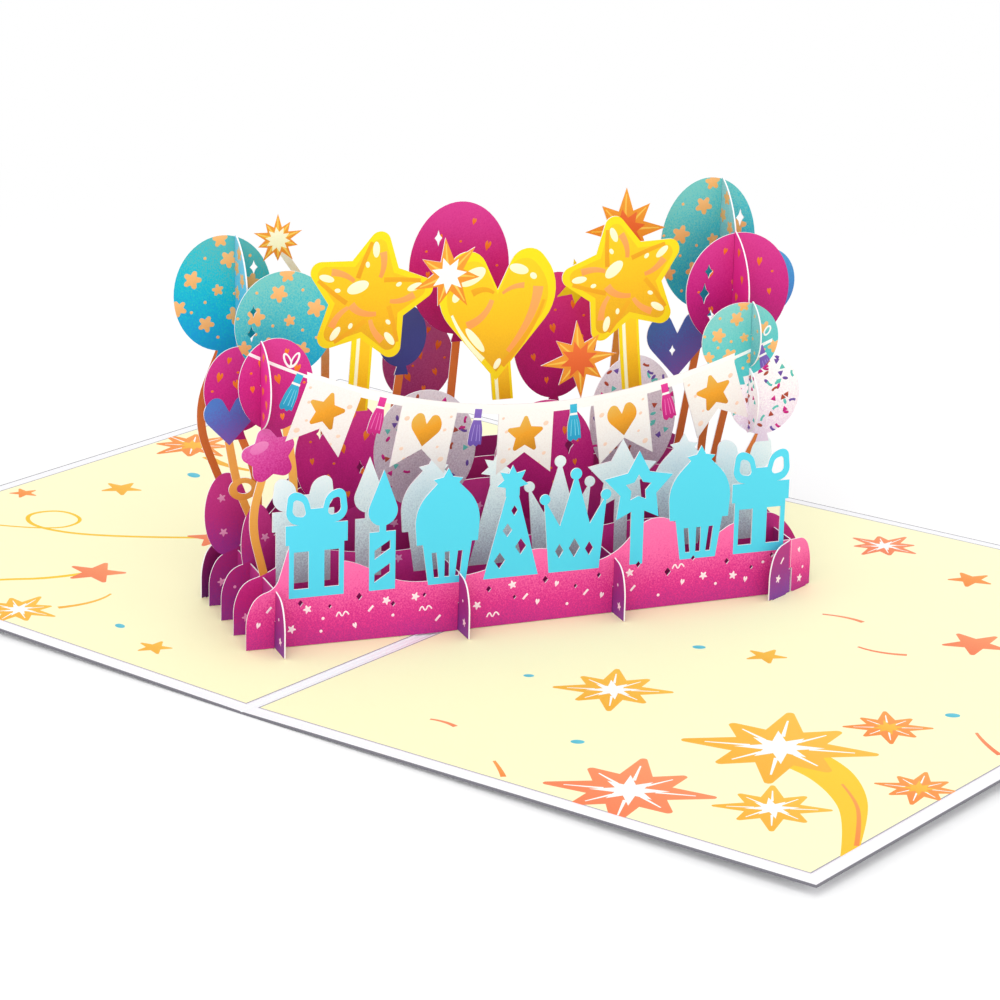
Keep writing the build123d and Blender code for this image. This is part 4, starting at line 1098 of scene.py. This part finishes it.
def cross_slice(index):
    front = 0.0 if index == len(CROSS_PLACES) - 1 else -CROSS_OVERHANG
    back = GRID_DEPTH if index == 0 else GRID_DEPTH + CROSS_OVERHANG
    low, high = HALF_HEIGHT - SLOT_PLAY, CROSS_HEIGHT + SLOT_PLAY
    sheet = Sheet()
    span = (front, 0, back, CROSS_HEIGHT)
    sheet.part(box(0, -1, GRID_DEPTH, CROSS_HEIGHT), SLICE_VIOLET, span)
    if front < 0:
        sheet.part(wound([Vector((-p.x, p.y)) for p in quarter_arch(-front, -1)]), SLICE_VIOLET, span)
        flecks(sheet, FLECK, ((front + 2.6, 3.2, "star"), (front + 3.6, 7.4, "dot")))
    if back > GRID_DEPTH:
        sheet.part([Vector((GRID_DEPTH + p.x, p.y)) for p in quarter_arch(back - GRID_DEPTH, -1)],
                   SLICE_VIOLET, span)
        flecks(sheet, FLECK, [(back - 2.6, 4.2, "heart")])
    for k in range(ROWS):
        if front < k * ROW_PITCH < back:
            cut_slot(sheet, k * ROW_PITCH, low, high)
    place = upright(FIRST_JOINT + ALONG * CROSS_PLACES[index], BACKWARDS)
    trim_foot(sheet, place, -2 * CROSS_OVERHANG, GRID_DEPTH + 2 * CROSS_OVERHANG)
    sheets = [(sheet, place)]
    for bent, end, hinge, way in ((front == 0, 0, RIGHT_HINGE, -1),
                                  (back == GRID_DEPTH, GRID_DEPTH, LEFT_HINGE, 1)):
        if bent:
            cut_slot(sheet, end, low, high, BEND_ROOM)
            sheets.append(bent_tab(hinge, way, SLICE_VIOLET, low, high))
            flecks(sheets[-1][0], FLECK, ((way * 3.2, 8.6, "dash"), (way * 4.4, 5.0, "star")))
    die_cut(f"cross_slice_{index + 1}", sheets)


for index in range(len(CROSS_PLACES)):
    cross_slice(index)


# Fins: six lenses of the same card, hooked into the outer balloons at right angles to the rows, so that
# these look round. Each is printed like its balloon, and slotted from its foot to its middle. The teal
# fins are inked lighter than their balloons: painted light, for faces open to the sky.

FIN_BACK = 2.6
FIN_STEPS = 24
# Painted light: the two teal fin inks are lighter copies of their balloons' teal.
FIN_BLUE_LIT = card("fin_blue_lit", [(60, 178, 224), (96, 196, 230), (140, 212, 236)], 0.9)
FIN_TEAL_LIT = card("fin_teal_lit", [(84, 178, 190), (126, 204, 208), (158, 216, 222)], 1.0)
FIN_PINK = card("fin_pink_print", [(206, 22, 128), (226, 34, 148), (230, 60, 158)], 0.5)


def fin(node, slot, ink, marks):
    """Cuts one fin; marks prints its scatter on the part in front of the row."""
    size = FINS[node]
    middle, z, high = size["row"] * ROW_PITCH, size["z"], size["high"] + FIN_POKE
    line = []
    for way, reach in ((1, FIN_BACK), (-1, size["front"])):
        radius = (high ** 2 + reach ** 2) / (2 * reach)
        sweep = asin(high / radius)
        for k in range(FIN_STEPS + 1):
            angle = sweep * (2 * k / FIN_STEPS - 1)
            out, up = radius * cos(angle) - radius + reach, radius * sin(angle)
            line.append(Vector((middle + way * out, z + way * up)))
    sheet = Sheet()
    sheet.part(wound(line), ink)
    marks(sheet, (middle - size["front"] / 2, z, size["front"] / 2, high))
    cut_slot(sheet, middle, z - 2 * high, z + SLOT_PLAY)
    die_cut(node, [(sheet, upright(FIRST_JOINT + ALONG * size["s"], BACKWARDS))])


def fin_stars(sheet, size):
    for u, v in ((0.3, 0.72), (-0.2, 0.3), (0.6, 0.02), (-0.5, -0.16), (0.2, -0.46), (0.7, 0.44),
                 (0.5, -0.8)):
        sheet.mark(star(*spot_on(size, u, v), 5, 1.5, 0.87, 90 * v, 1.0, 0.7), PEACH_STAR)


def fin_dots(sheet, size):
    for u, v in ((0.4, 0.6), (-0.3, 0.2), (0.6, -0.1), (0.1, -0.5)):
        sheet.mark(oval(*spot_on(size, u, v), 0.36, 0.36, 0, 14), PEACH_STAR)


def fin_hearts(sheet, size):
    for u, v in ((0.4, 0.66), (-0.1, 0.24), (0.5, -0.1), (-0.2, -0.34), (0.4, -0.66)):
        sheet.mark(heart(*spot_on(size, u, v), 0.6, 0.9, 30 * u, 5), HEART_ORANGE)


def fin_bits(sheet, size):
    dice = Random(3)
    for k in range(18):
        u, v = dice.uniform(-0.9, 1.4), dice.uniform(-0.9, 0.9)
        sheet.mark(star(*spot_on(size, u, v), 3, 0.6, 0.36, 360 * u), BITS[k % 4])


fin("left_teal_fin", "balloon_teal", FIN_BLUE_LIT, fin_stars)
fin("top_teal_fin", "balloon_teal", FIN_TEAL_LIT, fin_stars)
fin("small_teal_fin", "balloon_teal", FIN_TEAL_LIT, fin_dots)
fin("left_magenta_fin", "balloon_magenta", FIN_PINK, fin_hearts)
fin("right_magenta_fin", "balloon_magenta", FIN_PINK, fin_hearts)
fin("confetti_fin", "confetti_white", CONFETTI_WHITE, fin_bits)


# Studio: a wide white floor under an even white sky, with one broad lamp above the reader's shoulder. Away
# from the card the floor is seen as plain white. The camera stands where the photograph was taken from.

FLOOR_HALF = 6
FLOOR_WHITE = (0.97, 0.97, 0.97, 1)
BLANK_FROM, BLANK_TO = 0.18, 0.42
PURE_WHITE = (1, 1, 1, 1)

floor_mesh = bpy.data.meshes.new("floor")
bm = bmesh.new()
bmesh.ops.create_grid(bm, x_segments=1, y_segments=1, size=FLOOR_HALF)
bm.to_mesh(floor_mesh)
bm.free()
floor_paint = bpy.data.materials.new("floor_paint")
floor_paint.use_nodes = True
floor_shader = floor_paint.node_tree.nodes["Principled BSDF"]
floor_shader.inputs["Base Color"].default_value = FLOOR_WHITE
floor_shader.inputs["Roughness"].default_value = 0.9
floor_shader.inputs["Specular IOR Level"].default_value = 0.0
paint = Ink(floor_paint.node_tree, floor_shader.outputs[0])
distance = paint.node("ShaderNodeVectorMath", {"operation": "LENGTH"},
                      {0: paint.node("ShaderNodeTexCoord", {}, {}, "Object")}, "Value")
away = paint.node("ShaderNodeMapRange", {"interpolation_type": "SMOOTHSTEP"},
                  {"Value": distance, "From Min": BLANK_FROM, "From Max": BLANK_TO})
seen = paint.node("ShaderNodeLightPath", {}, {}, "Is Camera Ray")
blank = paint.node("ShaderNodeEmission", {}, {"Color": PURE_WHITE, "Strength": 1.0})
surface = paint.node("ShaderNodeMixShader", {}, {0: away * seen, 1: paint, 2: blank})
paint.tree.links.new(surface.output, paint.tree.nodes["Material Output"].inputs["Surface"])
floor_mesh.materials.append(floor_paint)
floor = placed("floor", floor_mesh)

SKY_STRENGTH = 0.9
sky = bpy.data.worlds.new("sky")
sky.use_nodes = True
bpy.context.scene.world = sky
dome = Ink(sky.node_tree)
seen = dome.math("MAXIMUM", dome.node("ShaderNodeLightPath", {}, {}, "Is Camera Ray"),
                 dome.node("ShaderNodeLightPath", {}, {}, "Is Glossy Ray"))
strength = seen * (1 - SKY_STRENGTH) + SKY_STRENGTH
sky.node_tree.nodes["Background"].inputs["Color"].default_value = PURE_WHITE
sky.node_tree.links.new(strength.output, sky.node_tree.nodes["Background"].inputs["Strength"])

LAMP_PLACE = Vector((0.45, -0.75, 1.15))
LAMP_AIM = Vector((0, 0, 0.03))
LAMP_WIDTH = 1.0
LAMP_POWER = 6.0
lamp_data = bpy.data.lights.new("lamp", "AREA")
lamp_data.shape = "DISK"
lamp_data.size = LAMP_WIDTH
lamp_data.energy = LAMP_POWER
lamp = placed("lamp", lamp_data)
lamp.location = LAMP_PLACE
lamp.rotation_mode = "QUATERNION"
lamp.rotation_quaternion = (LAMP_AIM - LAMP_PLACE).to_track_quat("-Z", "Y")

CAMERA_PLACE = Vector((404.70, -539.58, 238.07)) * MM
CAMERA_FORWARD = Vector((-0.57862, 0.75543, -0.30747))
CAMERA_RIGHT = Vector((0.78916, 0.61376, 0.02285))
CAMERA_UP = CAMERA_RIGHT.cross(CAMERA_FORWARD)
SENSOR_WIDTH = 36.0
FOCAL_LENGTH = 125.58
camera_data = bpy.data.cameras.new("camera")
camera_data.sensor_width = SENSOR_WIDTH
camera_data.lens = FOCAL_LENGTH
camera_data.clip_start = 0.01
camera_data.clip_end = 20
camera = placed("camera", camera_data)
facing = Matrix((CAMERA_RIGHT, CAMERA_UP, -CAMERA_FORWARD)).transposed().to_4x4()
camera.matrix_world = Matrix.Translation(CAMERA_PLACE) @ facing
bpy.context.scene.camera = camera
bpy.context.scene.view_settings.view_transform = "Standard"
